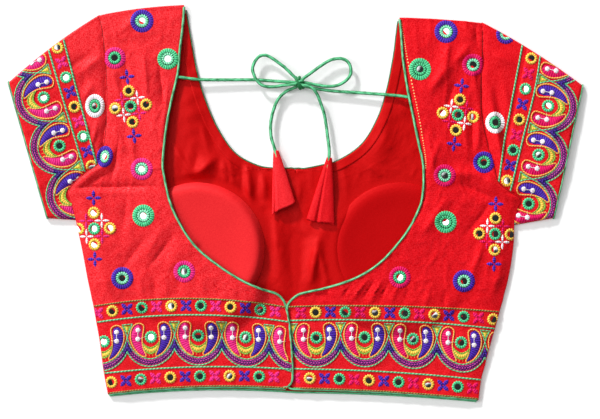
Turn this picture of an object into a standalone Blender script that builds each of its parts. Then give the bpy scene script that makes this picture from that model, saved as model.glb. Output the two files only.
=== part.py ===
"""A choli (sari blouse) with embroidered borders, laid out flat on its front, back side up.

X runs across the blouse, Y from the hem up to the shoulders and Z up from the surface it lies
on. The origin is on that surface, under the middle of the laid-out blouse. "Left" and "right"
are those of somebody who looks down on it. Sizes are millimetres on the finished garment.
"""
import math
from collections import namedtuple

import bmesh
import bpy
from mathutils import Vector

MM = 0.001             # metres in a millimetre

CLOTH = 1.2            # shell and lining together
BORDER = 0.8           # embroidered border strip, sewn on the cloth
GAP = 0.3              # between pieces that touch
SEAM = 0.7             # between a panel and the sleeve set into it
PIPING_GAP = 0.6       # between a curved edge and the piping along it
NECK_PIPING = 2.0      # width of the green bias piping on the back neck and the hem
FRONT_PIPING = 1.6     # width of the finer piping on the front neck
CUFF_PIPING = 1.8      # width of the piping on the sleeve ends
EDGE_ROLL = 24.0       # how far from a side edge the back lifts off the front
HEM_DROP = 2.0         # how much longer the front is than the back

PANEL_COLUMNS = 12     # faces across a back panel
FRONT_ACROSS = (0.0, 0.14, 0.28, 0.42, 0.55, 0.67, 0.77, 0.86, 0.93, 1.0)   # on half the front
FIRST_BORDER_ROW = 18  # row of the tables below where the hem border starts
RIGHT_CORNER = 17.8    # place where the right neck piping ends, beside the left edge

# One row for each level of the laid-out body, from the shoulder down to the hem. "side" is the
# armhole and side seam, "neck" the back neck and centre back edge, "front" the front neck and
# the centre front. "bow" lifts the middle of a row towards the shoulders. The last three are
# how high the back lies above the surface at its side, its middle and its neck edge.
Row = namedtuple("Row", "side_x side_y neck_x neck_y front_x front_y bow side_z mid_z neck_z")
LEFT_ROWS = (
    Row(-199.0, 189.0, -111.0, 199.6, -109.0, 197.0, 2.0, 1.6, 1.7, 1.8),
    Row(-195.5, 178.0, -112.3, 179.5, -105.5, 175.0, 1.0, 3.0, 4.0, 4.0),
    Row(-193.0, 160.0, -115.0, 156.5, -101.5, 152.0, 0.0, 3.8, 4.5, 5.0),
    Row(-191.0, 138.0, -117.4, 131.0, -97.0, 130.0, 0.0, 4.2, 5.0, 5.5),
    Row(-190.0, 110.0, -123.8, 103.0, -89.0, 104.0, 0.0, 4.2, 5.0, 6.5),
    Row(-191.0, 78.0, -128.6, 77.4, -77.0, 77.0, 0.0, 4.2, 5.0, 7.5),
    Row(-194.0, 57.0, -131.3, 53.0, -60.0, 53.0, 0.0, 4.2, 5.5, 8.0),
    Row(-198.0, 42.0, -132.0, 39.0, -38.6, 41.0, 0.0, 4.2, 5.5, 8.6),
    Row(-212.0, 31.5, -130.8, 30.0, -20.0, 38.0, 0.0, 3.8, 5.5, 9.0),
    Row(-227.0, 16.5, -128.0, 16.0, 0.0, 37.2, 0.0, 3.4, 5.5, 9.0),
    Row(-225.0, 5.0, -125.0, 4.0, 0.0, 24.0, 0.0, 3.2, 5.5, 9.2),
    Row(-220.0, -15.0, -117.4, -14.0, 0.0, 6.0, 0.0, 2.4, 5.8, 9.5),
    Row(-215.0, -38.0, -102.0, -38.0, 0.0, -16.0, 0.0, 1.6, 6.0, 9.5),
    Row(-211.5, -56.0, -83.2, -55.0, 0.0, -38.0, 0.0, 1.6, 6.0, 9.5),
    Row(-208.5, -72.0, -58.0, -72.0, 0.0, -58.0, 1.0, 1.6, 6.0, 9.2),
    Row(-206.5, -82.0, -36.0, -82.3, 0.0, -74.0, 3.0, 1.6, 5.6, 7.6),
    Row(-205.0, -88.5, -20.0, -87.5, 0.0, -83.0, 5.0, 1.6, 5.2, 6.2),
    Row(-204.0, -94.0, -12.8, -94.0, 0.0, -91.0, 7.0, 1.6, 4.8, 5.2),
    Row(-202.5, -100.5, -10.3, -101.0, 0.0, -101.0, 8.5, 1.6, 4.4, 4.6),
    Row(-199.4, -117.7, -7.3, -117.0, 0.0, -117.0, 7.5, 1.6, 4.0, 4.0),
    Row(-196.0, -137.0, -5.5, -137.0, 0.0, -137.0, 6.5, 1.6, 3.8, 3.8),
    Row(-193.8, -155.0, -4.5, -152.0, 0.0, -153.0, 5.5, 1.6, 3.6, 3.6),
    Row(-192.0, -168.0, -4.2, -164.0, 0.0, -166.0, 4.5, 1.6, 3.4, 3.6),
    Row(-188.0, -190.5, -4.2, -185.0, 0.0, -187.0, 4.5, 1.6, 3.2, 3.4),
)
RIGHT_ROWS = (
    Row(188.5, 181.6, 102.5, 187.1, 101.0, 185.5, 1.0, 1.6, 1.7, 1.8),
    Row(188.0, 170.0, 104.3, 169.0, 99.0, 170.0, 0.5, 3.0, 4.0, 4.0),
    Row(187.5, 150.0, 105.8, 147.6, 96.0, 147.0, 0.0, 3.8, 4.5, 5.0),
    Row(186.0, 118.0, 110.4, 115.7, 89.0, 113.0, 0.0, 4.2, 5.0, 6.0),
    Row(187.0, 88.0, 115.8, 89.0, 80.0, 86.4, 0.0, 4.2, 5.0, 7.0),
    Row(193.0, 60.0, 121.3, 62.0, 65.0, 62.0, 0.0, 4.2, 5.0, 7.8),
    Row(199.0, 40.0, 125.7, 42.0, 42.0, 46.0, 0.0, 4.2, 5.5, 8.4),
    Row(203.5, 23.0, 126.3, 24.0, 22.0, 40.5, 0.0, 4.2, 5.5, 8.8),
    Row(215.0, 13.0, 125.6, 13.0, 8.0, 37.8, 0.0, 3.8, 5.5, 9.0),
    Row(225.0, 6.0, 124.5, 5.0, 0.0, 37.2, 0.0, 3.4, 5.5, 9.0),
    Row(221.5, -3.0, 121.5, -4.0, 0.0, 24.0, 0.0, 3.2, 5.5, 9.2),
    Row(218.0, -20.0, 113.5, -20.5, 0.0, 6.0, 0.0, 2.4, 5.8, 9.5),
    Row(217.5, -37.0, 101.0, -38.0, 0.0, -16.0, 0.0, 1.6, 6.0, 9.5),
    Row(215.0, -57.5, 82.6, -57.4, 0.0, -38.0, 0.0, 1.6, 6.0, 9.5),
    Row(212.5, -71.0, 60.0, -71.5, 0.0, -58.0, 0.0, 1.6, 6.0, 9.0),
    Row(210.0, -82.0, 31.6, -81.4, 0.0, -74.0, 0.5, 1.6, 5.6, 7.2),
    Row(208.0, -89.0, 12.4, -85.8, 0.0, -83.0, 1.5, 1.6, 5.2, 6.0),
    Row(206.5, -96.0, 0.2, -89.8, 0.0, -91.0, 2.5, 1.6, 4.8, 5.0),
    Row(203.5, -106.0, -9.7, -101.0, 0.0, -101.0, 3.5, 1.6, 4.4, 4.6),
    Row(199.5, -124.0, -7.0, -116.0, 0.0, -117.0, 4.0, 1.6, 4.0, 4.0),
    Row(194.5, -144.0, -5.0, -137.0, 0.0, -137.0, 4.0, 1.6, 3.8, 3.8),
    Row(190.0, -162.0, -4.0, -153.0, 0.0, -153.0, 4.0, 1.6, 3.6, 3.6),
    Row(187.0, -174.5, -3.7, -163.5, 0.0, -166.0, 2.5, 1.6, 3.4, 3.6),
    Row(183.5, -196.0, -3.7, -185.0, 0.0, -187.0, 2.0, 1.6, 3.2, 3.4),
)
LAST = len(LEFT_ROWS) - 1

# Soft folds in the lying cloth: a line, how wide it spreads and how far it rises or sinks.
Fold = namedtuple("Fold", "x0 y0 x1 y1 width height")
BACK_FOLDS = (
    Fold(-146.0, 152.0, -139.0, 75.0, 8.0, 1.8),
    Fold(-160.0, 168.0, -152.0, 130.0, 6.0, 1.2),
    Fold(-222.0, 17.0, -172.0, 62.0, 9.0, 2.4),
    Fold(-190.0, 17.0, -143.0, 17.0, 8.0, -1.2),
    Fold(-124.0, -32.0, -152.0, -66.0, 8.0, -1.6),
    Fold(-112.0, -40.0, -138.0, -74.0, 8.0, 1.4),
    Fold(151.0, 160.0, 146.0, 126.0, 7.0, 1.5),
    Fold(172.0, 158.0, 134.0, 116.0, 8.0, 1.3),
    Fold(154.0, 64.0, 137.0, 33.0, 6.0, 1.2),
    Fold(219.0, 8.0, 186.0, 26.0, 9.0, 2.2),
    Fold(186.0, 26.0, 152.0, 34.0, 9.0, 1.4),
)
SLEEVE_FOLDS = (
    Fold(-196.0, 146.0, -216.0, 128.0, 7.0, 1.4),
    Fold(-200.0, 96.0, -206.0, 60.0, 7.0, 1.0),
    Fold(193.0, 150.0, 216.0, 141.0, 7.0, 1.3),
    Fold(194.0, 100.0, 206.0, 45.0, 6.0, 1.2),
)
FRONT_FOLDS = (
    Fold(-20.0, -4.0, -14.0, -84.0, 8.0, 2.6),
    Fold(22.0, -26.0, 14.0, -84.0, 8.0, 3.6),
    Fold(-56.0, 30.0, -49.0, 6.0, 7.0, 2.2),
    Fold(-34.0, 25.0, -30.0, 4.0, 6.0, 1.8),
    Fold(-84.0, 46.0, -104.0, 26.0, 7.0, 1.8),
)

# Foam bra cups under the lining, seen hollow side up. A cup is turned from (radius, height)
# and leans: its side towards the middle of the neck stands higher than the other.
CUP_PROFILE = ((0.0, 2.2), (25.0, 2.7), (42.0, 4.0), (53.0, 5.8), (59.0, 7.0), (62.0, 7.1),
               (65.0, 5.4), (67.0, 2.6), (67.6, 0.9), (67.0, 0.0), (0.0, 0.0))
CUP_OUTER = 67.6
CUP_SLOPE = 25.0       # how far around a cup the back slopes down from its rim
CUP_STEPS = 28
CUP_BASE = CLOTH + GAP
Cup = namedtuple("Cup", "name x y lean_in lean_up")
CUPS = (Cup("cup_left", -99.0, -45.0, 0.40, 0.16), Cup("cup_right", 104.0, -45.0, -0.44, 0.12))

# The sleeves: the sleeve end, the bow of the top fold and the width of the border at the end.
Sleeve = namedtuple("Sleeve", "rows side end_top_x end_top_y end_low_x end_low_y bow border")
LEFT_SLEEVE = Sleeve(LEFT_ROWS, -1, -289.0, 122.0, -250.5, -13.0, 3.2, 66.0)
RIGHT_SLEEVE = Sleeve(RIGHT_ROWS, 1, 288.3, 119.0, 259.6, -12.8, 2.8, 63.0)
SLEEVE_SEAM_ROWS = 11.0      # rows of the body that the sleeve runs along
SLEEVE_PLACES = (0.0, 0.22, 0.8, 1.5, 2.5, 3.5, 4.5, 5.5, 7.0, 8.0, 8.5, 9.0, 9.5, 10.2, 10.78, 11.0)
PLAIN_RINGS = 3              # rings above the border
BORDER_RINGS = 5             # rings along the border
SLEEVE_FOLD_Z = 3.3          # height of the sleeve next to its folded edges
SLEEVE_END_Z = 4.6           # height in the middle of its open end
UNDERARM_STEP = 1.4          # how far the sleeve lies below the body's underarm fold
UNDERARM_ROWS = (7.0, 9.0)   # rows over which that step comes in

# The dori, a soft bias cord that ties the back neck. Every stretch is a list of points along it.
DORI = 3.0
DORI_STEP = 8.5              # distance between the points that the smooth curve is read at
KNOT = (3.0, 122.0, 5.3)     # centre of the bow knot
KNOT_SIZE = (10.0, 13.0, 9.8)
DORI_ROUTES = {
    "dori_run_left": (
        (-114.6, 127.6, 5.6), (-96.0, 125.4, 4.8), (-70.0, 125.2, 4.2), (-41.0, 125.2, 3.8),
        (-25.0, 124.2, 3.6), (-13.0, 123.4, 3.8), (-2.6, 122.6, 4.2)),
    "dori_loop_left": (
        (-0.6, 127.0, 6.6), (-10.0, 136.3, 6.8), (-18.0, 142.6, 6.6), (-25.4, 147.6, 6.2),
        (-31.0, 149.7, 6.0), (-36.4, 148.6, 6.0), (-41.0, 143.4, 6.2), (-43.4, 136.4, 6.8),
        (-42.2, 130.6, 7.3), (-38.9, 124.2, 7.5), (-33.8, 119.6, 7.2), (-27.6, 118.1, 6.8),
        (-20.0, 118.4, 6.6), (-12.0, 119.6, 6.8), (-2.4, 120.4, 7.4)),
    "dori_tail_left": (
        (-1.4, 117.4, 4.2), (-8.6, 114.4, 4.0), (-14.7, 109.5, 4.0), (-19.3, 103.4, 4.1),
        (-22.6, 94.5, 4.3), (-24.8, 85.5, 4.6), (-25.4, 76.0, 5.0), (-24.6, 67.0, 5.4),
        (-22.4, 60.0, 5.8), (-21.0, 55.0, 5.9)),
    "dori_loop_right": (
        (7.4, 126.4, 6.6), (16.7, 133.2, 6.6), (25.1, 139.3, 6.4), (34.3, 144.7, 6.2),
        (42.7, 146.4, 6.0), (49.0, 145.2, 6.0), (53.4, 140.9, 6.0), (55.0, 134.0, 6.0),
        (53.2, 128.0, 6.0), (47.3, 122.3, 6.0), (39.7, 119.2, 5.9), (31.0, 118.6, 5.6),
        (22.0, 119.8, 5.2), (9.0, 122.4, 4.9)),
    "dori_tail_right": (
        (7.6, 119.4, 8.0), (12.6, 118.6, 8.6), (17.6, 115.6, 8.5), (21.6, 109.6, 7.4),
        (25.2, 100.4, 6.2), (28.2, 91.0, 5.6), (30.2, 80.0, 5.3), (31.6, 69.0, 5.4),
        (32.8, 60.0, 5.8), (33.3, 52.4, 5.9)),
    "dori_run_right": (
        (8.8, 119.0, 4.2), (20.5, 116.3, 3.8), (32.0, 114.6, 3.8), (45.0, 113.4, 4.0),
        (64.0, 112.2, 4.4), (86.0, 110.6, 5.0), (100.0, 109.4, 5.6), (108.6, 108.4, 6.0)),
}

# Cloth tassels on the ends of the dori: a flattened cone, open below, with a pleat down it.
# Each is a point at the cord, the middle of its hem, its width there, how far one end of the
# hem hangs lower than the other, and where the pleat is across it (-1 to 1).
Tassel = namedtuple("Tassel", "name x y hem_x hem_y hem_width slant pleat")
TASSELS = (
    Tassel("tassel_left", -20.0, 54.4, -12.4, -3.4, 26.0, -4.5, -0.72),
    Tassel("tassel_right", 33.5, 47.4, 24.5, -17.2, 30.0, 0.5, -0.28),
)
TASSEL_FLOOR = 2.9           # underside of the tassels, just above the front neck facing
TASSEL_TOP = (3.2, 2.6)      # half width and half height at the cord
TASSEL_HEM_HALF_HEIGHT = 3.6
TASSEL_WALL = 1.0
TASSEL_RINGS = 5
TASSEL_SIDES = 16

# The facing turned in along the front neck, from the left shoulder to the right one.
FACING_WIDTH = 7.0
FACING_THICK = 0.7
PLACKET = (-19.0, 1.0, -97.0, -181.0)    # left, right, top and bottom of the hook placket

RED = (0.80, 0.030, 0.036)
LINING_RED = (0.52, 0.004, 0.010)
GREEN = (0.045, 0.36, 0.14)
FINISHES = {"cloth": (RED, 0.62), "lining": (LINING_RED, 0.55), "border": (RED, 0.7),
            "cord": (GREEN, 0.5)}


# ---------------------------------------------------------------- curves and heights

def smooth(value):
    """0 up to 0, 1 from 1 on, and a soft step in between."""
    value = min(max(value, 0.0), 1.0)
    return value * value * (3.0 - 2.0 * value)


def catmull_rom(table, place):
    """The values at a place along a table of equally long rows, on a smooth curve."""
    last = len(table) - 1
    index = min(int(place), last - 1)
    f = place - index
    a, b, c, d = (table[min(max(index + step, 0), last)] for step in (-1, 0, 1, 2))
    return [0.5 * (2 * q + (r - p) * f + (2 * p - 5 * q + 4 * r - s) * f * f
                   + (3 * q - p - 3 * r + s) * f ** 3) for p, q, r, s in zip(a, b, c, d)]


def row_at(rows, place):
    return Row(*catmull_rom(rows, place))


def resample(points, step):
    """Points at even distances along the smooth curve through the given ones."""
    fine = [Vector(catmull_rom(points, k / 12)) for k in range(12 * (len(points) - 1) + 1)]
    lengths = [0.0]
    for start, end in zip(fine, fine[1:]):
        lengths.append(lengths[-1] + (end - start).length)
    count = max(2, round(lengths[-1] / step))
    result = []
    index = 0
    for k in range(count + 1):
        wanted = lengths[-1] * k / count
        while index < len(fine) - 2 and lengths[index + 1] < wanted:
            index += 1
        part = (wanted - lengths[index]) / (lengths[index + 1] - lengths[index])
        result.append(fine[index].lerp(fine[index + 1], part))
    return result


def fold_height(folds, x, y):
    """The sum of the folds near a point. Each one fades out towards its ends."""
    total = 0.0
    for fold in folds:
        run = Vector((fold.x1 - fold.x0, fold.y1 - fold.y0))
        to_point = Vector((x - fold.x0, y - fold.y0))
        along = min(max(to_point.dot(run) / run.length_squared, 0.0), 1.0)
        distance = (to_point - along * run).length
        fade = math.sin(math.pi * (0.12 + 0.76 * along))
        total += fold.height * fade * math.exp(-(distance / fold.width) ** 2)
    return total


def front_height(x, y):
    """The underside of the front above the surface; its folds flatten out under the cups."""
    clear = 1.0
    for cup in CUPS:
        radius = math.hypot(x - cup.x, y - cup.y)
        clear *= smooth((radius - CUP_OUTER - 5.0) / 8.0)
    return max(fold_height(FRONT_FOLDS, x, y) * clear, 0.0)


def cup_height(cup, x, y):
    """The top of a leaning cup above the surface, and of a soft slope around it."""
    dx = x - cup.x
    dy = y - cup.y
    radius = math.hypot(dx, dy)
    inside = min(1.0, CUP_OUTER / max(radius, 1.0)) / CUP_OUTER
    lean = 1.0 + (cup.lean_in * dx + cup.lean_up * dy) * inside
    rim = CUP_PROFILE[5][1] * lean
    return CUP_BASE + rim * smooth((CUP_OUTER + CUP_SLOPE - radius) / (CUP_SLOPE - 2.0))


def back_height(row, across, x, y):
    """The underside of the back panels above the surface."""
    width = math.hypot(row.neck_x - row.side_x, row.neck_y - row.side_y)
    rise = smooth(0.5 + 0.5 * across * width / EDGE_ROLL) * 2.0 - 1.0
    body = row.side_z + (row.mid_z - row.side_z) * rise
    body += (row.neck_z - row.mid_z) * smooth((across - 0.35) / 0.6)
    body += fold_height(BACK_FOLDS, x, y) * smooth(across * width / 10.0)
    over_cup = max(cup_height(cup, x, y) for cup in CUPS) + 0.9
    over_cup = row.side_z + (over_cup - row.side_z) * smooth(across * width / 30.0)
    return max(body, over_cup)


def inward(rows, side, place, x_name, y_name):
    """The direction across the table column's curve that points towards the cloth's side seam."""
    before = row_at(rows, max(place - 0.05, 0.0))
    after = row_at(rows, min(place + 0.05, LAST))
    down = Vector((getattr(after, x_name) - getattr(before, x_name),
                   getattr(after, y_name) - getattr(before, y_name))).normalized()
    return side * Vector((-down.y, down.x))


def back_point(rows, side, place, across, piping=NECK_PIPING + PIPING_GAP):
    """A point on the underside of a back panel, 0 across at its side and 1 at its neck edge."""
    row = row_at(rows, place)
    inset = piping * inward(rows, side, place, "neck_x", "neck_y")
    neck = Vector((row.neck_x, row.neck_y)) + inset
    if side > 0:
        neck -= inset * smooth((place - RIGHT_CORNER) / (FIRST_BORDER_ROW - RIGHT_CORNER))
    point = Vector((row.side_x, row.side_y)).lerp(neck, across)
    point.y += row.bow * 4.0 * across * (1.0 - across)
    point.y += piping * smooth(place - (LAST - 1))
    return Vector((point.x, point.y, back_height(row, across, point.x, point.y)))


def front_point(rows, side, place, across):
    """A point on the underside of the front, 0 across at its side and 1 at neck or centre."""
    row = row_at(rows, place)
    piping = FRONT_PIPING + PIPING_GAP
    inset = piping * inward(rows, side, place, "front_x", "front_y")
    neck_end = 1.0 - smooth(place - 8.0)
    centre = Vector((row.front_x, row.front_y)) + inset * neck_end
    if place >= 9.0:
        centre.x = 0.0
    centre.y -= piping * (smooth(place - 8.0) - smooth((place - 9.0) / 3.0))
    point = Vector((row.side_x, row.side_y)).lerp(centre, across)
    point.y += row.bow * 4.0 * across * (1.0 - across)
    point.y += (NECK_PIPING + GAP - HEM_DROP) * smooth(place - (LAST - 1))
    return Vector((point.x, point.y, front_height(point.x, point.y)))


# ---------------------------------------------------------------- objects from meshes

def material(name, kind):
    """A matte finish for one piece, in the colour of what it is made of."""
    colour, roughness = FINISHES[kind]
    made = bpy.data.materials.new(name)
    made.use_nodes = True
    shader = made.node_tree.nodes["Principled BSDF"]
    shader.inputs["Base Color"].default_value = (*colour, 1.0)
    shader.inputs["Roughness"].default_value = roughness
    shader.inputs["Metallic"].default_value = 0.0
    return made


def new_object(name, data, kind):
    data.materials.append(material(name, kind))
    made = bpy.data.objects.new(name, data)
    bpy.data.collections["choli_blouse"].objects.link(made)
    return made


def sheet_mesh(name, grids, merge=False):
    """An open surface from grids of points in millimetres; its faces look up."""
    mesh = bpy.data.meshes.new(name)
    build = bmesh.new()
    for grid in grids:
        verts = [[build.verts.new(point * MM) for point in line] for line in grid]
        for upper, lower in zip(verts, verts[1:]):
            for k in range(len(upper) - 1):
                build.faces.new((upper[k], lower[k], lower[k + 1], upper[k + 1]))
    if merge:
        bmesh.ops.remove_doubles(build, verts=build.verts, dist=0.05 * MM)
    bmesh.ops.recalc_face_normals(build, faces=build.faces)
    if sum(face.normal.z * face.calc_area() for face in build.faces) < 0.0:
        bmesh.ops.reverse_faces(build, faces=build.faces)
    build.to_mesh(mesh)
    build.free()
    mesh.shade_smooth()
    return mesh


def thicken(target, thickness, offset=1.0):
    solidify = target.modifiers.new("cloth", "SOLIDIFY")
    solidify.thickness = thickness * MM
    solidify.offset = offset
    return target


def moved_out(grid, distance):
    """A grid's points moved out along the normals of the surface they span, which look up."""
    result = []
    for r, line in enumerate(grid):
        above = grid[max(r - 1, 0)]
        below = grid[min(r + 1, len(grid) - 1)]
        moved = []
        for k, point in enumerate(line):
            along = line[min(k + 1, len(line) - 1)] - line[max(k - 1, 0)]
            normal = along.cross(above[k] - below[k]).normalized()
            if normal.z < 0.0:
                normal = -normal
            moved.append(point + distance * normal)
        result.append(moved)
    return result


def tube(name, points, diameter, kind):
    """A round cord through points in millimetres, with closed ends."""
    curve = bpy.data.curves.new(name, "CURVE")
    curve.dimensions = "3D"
    curve.bevel_depth = 0.5 * diameter * MM
    curve.bevel_resolution = 2
    curve.use_fill_caps = True
    spline = curve.splines.new("POLY")
    spline.points.add(len(points) - 1)
    for knot, point in zip(spline.points, points):
        knot.co = (*(point * MM), 1.0)
    return new_object(name, curve, kind)


# ---------------------------------------------------------------- the body

def places_down(halved_from, halved_to, last=LAST):
    """Every row of a table, and a place between two rows where the outline needs it."""
    places = []
    for row in range(last):
        places.append(float(row))
        if halved_from <= row < halved_to:
            places.append(row + 0.5)
    return places + [float(last)]


BACK_PLACES = sorted(places_down(1, 18) + [RIGHT_CORNER])
FRONT_PLACES = places_down(3, 10)


def back_grid(rows, side):
    return [[back_point(rows, side, place, k / PANEL_COLUMNS) for k in range(PANEL_COLUMNS + 1)]
            for place in BACK_PLACES]


def make_back(name, rows, side):
    """One half of the back, from shoulder to hem, with its open centre edge."""
    thicken(new_object("back_" + name, sheet_mesh(name, [back_grid(rows, side)]), "cloth"), CLOTH)


def make_hem_border(name, rows, side):
    """The embroidered strip on the lower back, made from the panel's own points."""
    grid = back_grid(rows, side)[-(LAST - FIRST_BORDER_ROW + 1):]
    strip = moved_out(grid, CLOTH + GAP)
    made = new_object("hem_border_" + name, sheet_mesh(name, [strip]), "border")
    thicken(made, BORDER)


def make_front():
    """The whole front: two halves that join under the neck on the centre line."""
    grids = []
    for rows, side in ((LEFT_ROWS, -1), (RIGHT_ROWS, 1)):
        grids.append([[front_point(rows, side, place, across) for across in FRONT_ACROSS]
                      for place in FRONT_PLACES])
    thicken(new_object("front", sheet_mesh("front", grids, merge=True), "lining"), CLOTH)


def make_placket():
    """The narrow strip under the centre back edges that carries the hooks."""
    left, right, top, bottom = PLACKET
    grid = [[Vector((x, y, CLOTH + GAP)) for x in (left, right)] for y in (top, bottom)]
    thicken(new_object("back_placket", sheet_mesh("placket", [grid]), "cloth"), CLOTH)


def make_cup(cup):
    """A foam cup, turned from its profile and then leaned."""
    turned = bpy.data.meshes.new(cup.name + "_profile")
    profile = [(radius * MM, 0.0, height * MM) for radius, height in CUP_PROFILE]
    turned.from_pydata(profile, [(k, k + 1) for k in range(len(profile) - 1)], [])
    pattern = bpy.data.objects.new(cup.name + "_turned", turned)
    bpy.data.collections["choli_blouse"].objects.link(pattern)
    screw = pattern.modifiers.new("turn", "SCREW")
    screw.steps = CUP_STEPS
    screw.render_steps = CUP_STEPS
    screw.use_merge_vertices = True
    screw.merge_threshold = 0.00001
    evaluated = pattern.evaluated_get(bpy.context.evaluated_depsgraph_get())
    mesh = bpy.data.meshes.new_from_object(evaluated)
    bpy.data.objects.remove(pattern)
    for vertex in mesh.vertices:
        lean = 1.0 + (cup.lean_in * vertex.co.x + cup.lean_up * vertex.co.y) / (CUP_OUTER * MM)
        vertex.co.z *= lean
    mesh.shade_smooth()
    made = new_object(cup.name, mesh, "lining")
    made.location = Vector((cup.x, cup.y, CUP_BASE)) * MM


# ---------------------------------------------------------------- the sleeves

def sleeve_plan(sleeve, across, along):
    """Where a sleeve point is seen from above: 0 along at the armhole and 1 at the open end."""
    place = across * SLEEVE_SEAM_ROWS
    row = row_at(sleeve.rows, place)
    seam = Vector((row.side_x, row.side_y))
    seam += SEAM * inward(sleeve.rows, sleeve.side, place, "side_x", "side_y")
    top = Vector((sleeve.end_top_x, sleeve.end_top_y))
    low = Vector((sleeve.end_low_x, sleeve.end_low_y))
    end = top.lerp(low, across)
    back = (seam - end).normalized()
    end += back * (CUFF_PIPING + PIPING_GAP)
    point = seam.lerp(end, along)
    point.y += sleeve.bow * 4.0 * along * (1.0 - along) * max(1.0 - 3.0 * across, 0.0)
    return point


def border_start(sleeve, across):
    """How far along the sleeve its border begins."""
    top = Vector((sleeve.end_top_x, sleeve.end_top_y))
    low = Vector((sleeve.end_low_x, sleeve.end_low_y))
    edge = (low - top).normalized()
    seam = sleeve_plan(sleeve, across, 0.0) - top
    end = sleeve_plan(sleeve, across, 1.0) - top
    seam_distance = abs(seam.x * edge.y - seam.y * edge.x)
    end_distance = abs(end.x * edge.y - end.y * edge.x)
    return max((seam_distance - sleeve.border) / (seam_distance - end_distance), 0.08)


def sleeve_height(sleeve, across, along, x, y):
    """The top of the sleeve above the surface, level with the back panel along the seam."""
    place = across * SLEEVE_SEAM_ROWS
    row = row_at(sleeve.rows, place)
    first, full = UNDERARM_ROWS
    step = UNDERARM_STEP * smooth((place - first) / (full - first))
    at_seam = max(row.side_z + CLOTH - step, SLEEVE_FOLD_Z)
    arch = math.sin(math.pi * across) ** 0.6 if 0.0 < across < 1.0 else 0.0
    at_end = SLEEVE_FOLD_Z + (SLEEVE_END_Z - SLEEVE_FOLD_Z) * arch
    height = at_seam + (at_end - at_seam) * along
    return height + fold_height(SLEEVE_FOLDS, x, y) * arch


def sleeve_across():
    """The places across a sleeve, 0 at its top fold and 1 at its underarm fold."""
    return [place / SLEEVE_SEAM_ROWS for place in SLEEVE_PLACES]


def sleeve_rings(sleeve):
    """How far along each ring of the sleeve lies, for a place across it."""
    def ring(across, index):
        start = border_start(sleeve, across)
        if index <= PLAIN_RINGS:
            return start * index / PLAIN_RINGS
        return start + (1.0 - start) * (index - PLAIN_RINGS) / BORDER_RINGS
    return ring


def sleeve_top(sleeve, across, along):
    point = sleeve_plan(sleeve, across, along)
    if across in (0.0, 1.0):
        return Vector((point.x, point.y, 0.5 * SLEEVE_FOLD_Z))
    return Vector((point.x, point.y, sleeve_height(sleeve, across, along, point.x, point.y)))


def sleeve_loop(sleeve, ring, index, stretch=0.0):
    """One closed ring of the sleeve: over its top and back along the surface it lies on."""
    loop = []
    for across in sleeve_across():
        point = sleeve_top(sleeve, across, ring(across, index))
        before = sleeve_plan(sleeve, across, ring(across, index) - 0.05)
        out = (Vector((point.x, point.y)) - before).normalized()
        loop.append(point + stretch * Vector((out.x, out.y, 0.0)))
    under = [Vector((point.x, point.y, 0.0)) for point in reversed(loop[1:-1])]
    return loop + under


def ring_mesh(name, loops, cap_first=False):
    """A tube through closed rings, its faces looking out."""
    mesh = bpy.data.meshes.new(name)
    build = bmesh.new()
    rings = [[build.verts.new(point * MM) for point in loop] for loop in loops]
    for first, second in zip(rings, rings[1:]):
        count = len(first)
        for k in range(count):
            following = (k + 1) % count
            build.faces.new((first[k], first[following], second[following], second[k]))
    if cap_first:
        build.faces.new(rings[0])
    bmesh.ops.recalc_face_normals(build, faces=build.faces)
    build.normal_update()
    centre = sum((vert.co for ring in rings for vert in ring), Vector()) / sum(map(len, rings))
    if sum((face.calc_center_median() - centre).dot(face.normal) for face in build.faces) < 0.0:
        bmesh.ops.reverse_faces(build, faces=build.faces)
    build.to_mesh(mesh)
    build.free()
    mesh.shade_smooth()
    return mesh


def make_sleeve(name, sleeve):
    """A short sleeve, flattened, with its border strip and the piping round its open end."""
    ring = sleeve_rings(sleeve)
    last = PLAIN_RINGS + BORDER_RINGS
    loops = [sleeve_loop(sleeve, ring, index) for index in range(last + 1)]
    made = new_object("sleeve_" + name, ring_mesh(name, loops), "cloth")
    thicken(made, CLOTH, offset=-1.0)

    grid = [[sleeve_top(sleeve, across, ring(across, index)) for across in sleeve_across()[1:-1]]
            for index in range(PLAIN_RINGS, last + 1)]
    strip = new_object("sleeve_border_" + name, sheet_mesh(name, [moved_out(grid, GAP)]), "border")
    thicken(strip, BORDER)

    edges = [sleeve_loop(sleeve, ring, last, PIPING_GAP + extent) for extent in (0.0, CUFF_PIPING)]
    piping = new_object("cuff_piping_" + name, ring_mesh(name + "_piping", edges), "cord")
    thicken(piping, CLOTH, offset=-1.0)


# ---------------------------------------------------------------- pipings, facing and dori

def make_neck_piping(name, rows, side, last_place):
    """The piping from the shoulder round the back neck, and on down the left centre edge."""
    points = []
    for place in [0.15] + [place for place in BACK_PLACES[1:] if place < last_place] + [last_place]:
        row = row_at(rows, place)
        edge = Vector((row.neck_x, row.neck_y))
        edge += 0.5 * NECK_PIPING * inward(rows, side, place, "neck_x", "neck_y")
        if side < 0:
            edge.y += 0.5 * NECK_PIPING * smooth(place - (LAST - 1))
        panel = back_point(rows, side, place, 1.0)
        points.append(Vector((edge.x, edge.y, panel.z + 0.5 * CLOTH)))
    tube("neck_piping_" + name, points, NECK_PIPING, "cord")


def make_hem_piping(name, rows, side, first, last):
    """The piping along the hem of a back panel."""
    points = []
    for k in range(PANEL_COLUMNS + 1):
        across = min(max(k / PANEL_COLUMNS, first), last)
        hem = back_point(rows, side, float(LAST), across)
        points.append(hem + Vector((0.0, -0.5 * NECK_PIPING - GAP, 0.5 * CLOTH + 0.2)))
    tube("hem_piping_" + name, points, NECK_PIPING, "cord")


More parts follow.
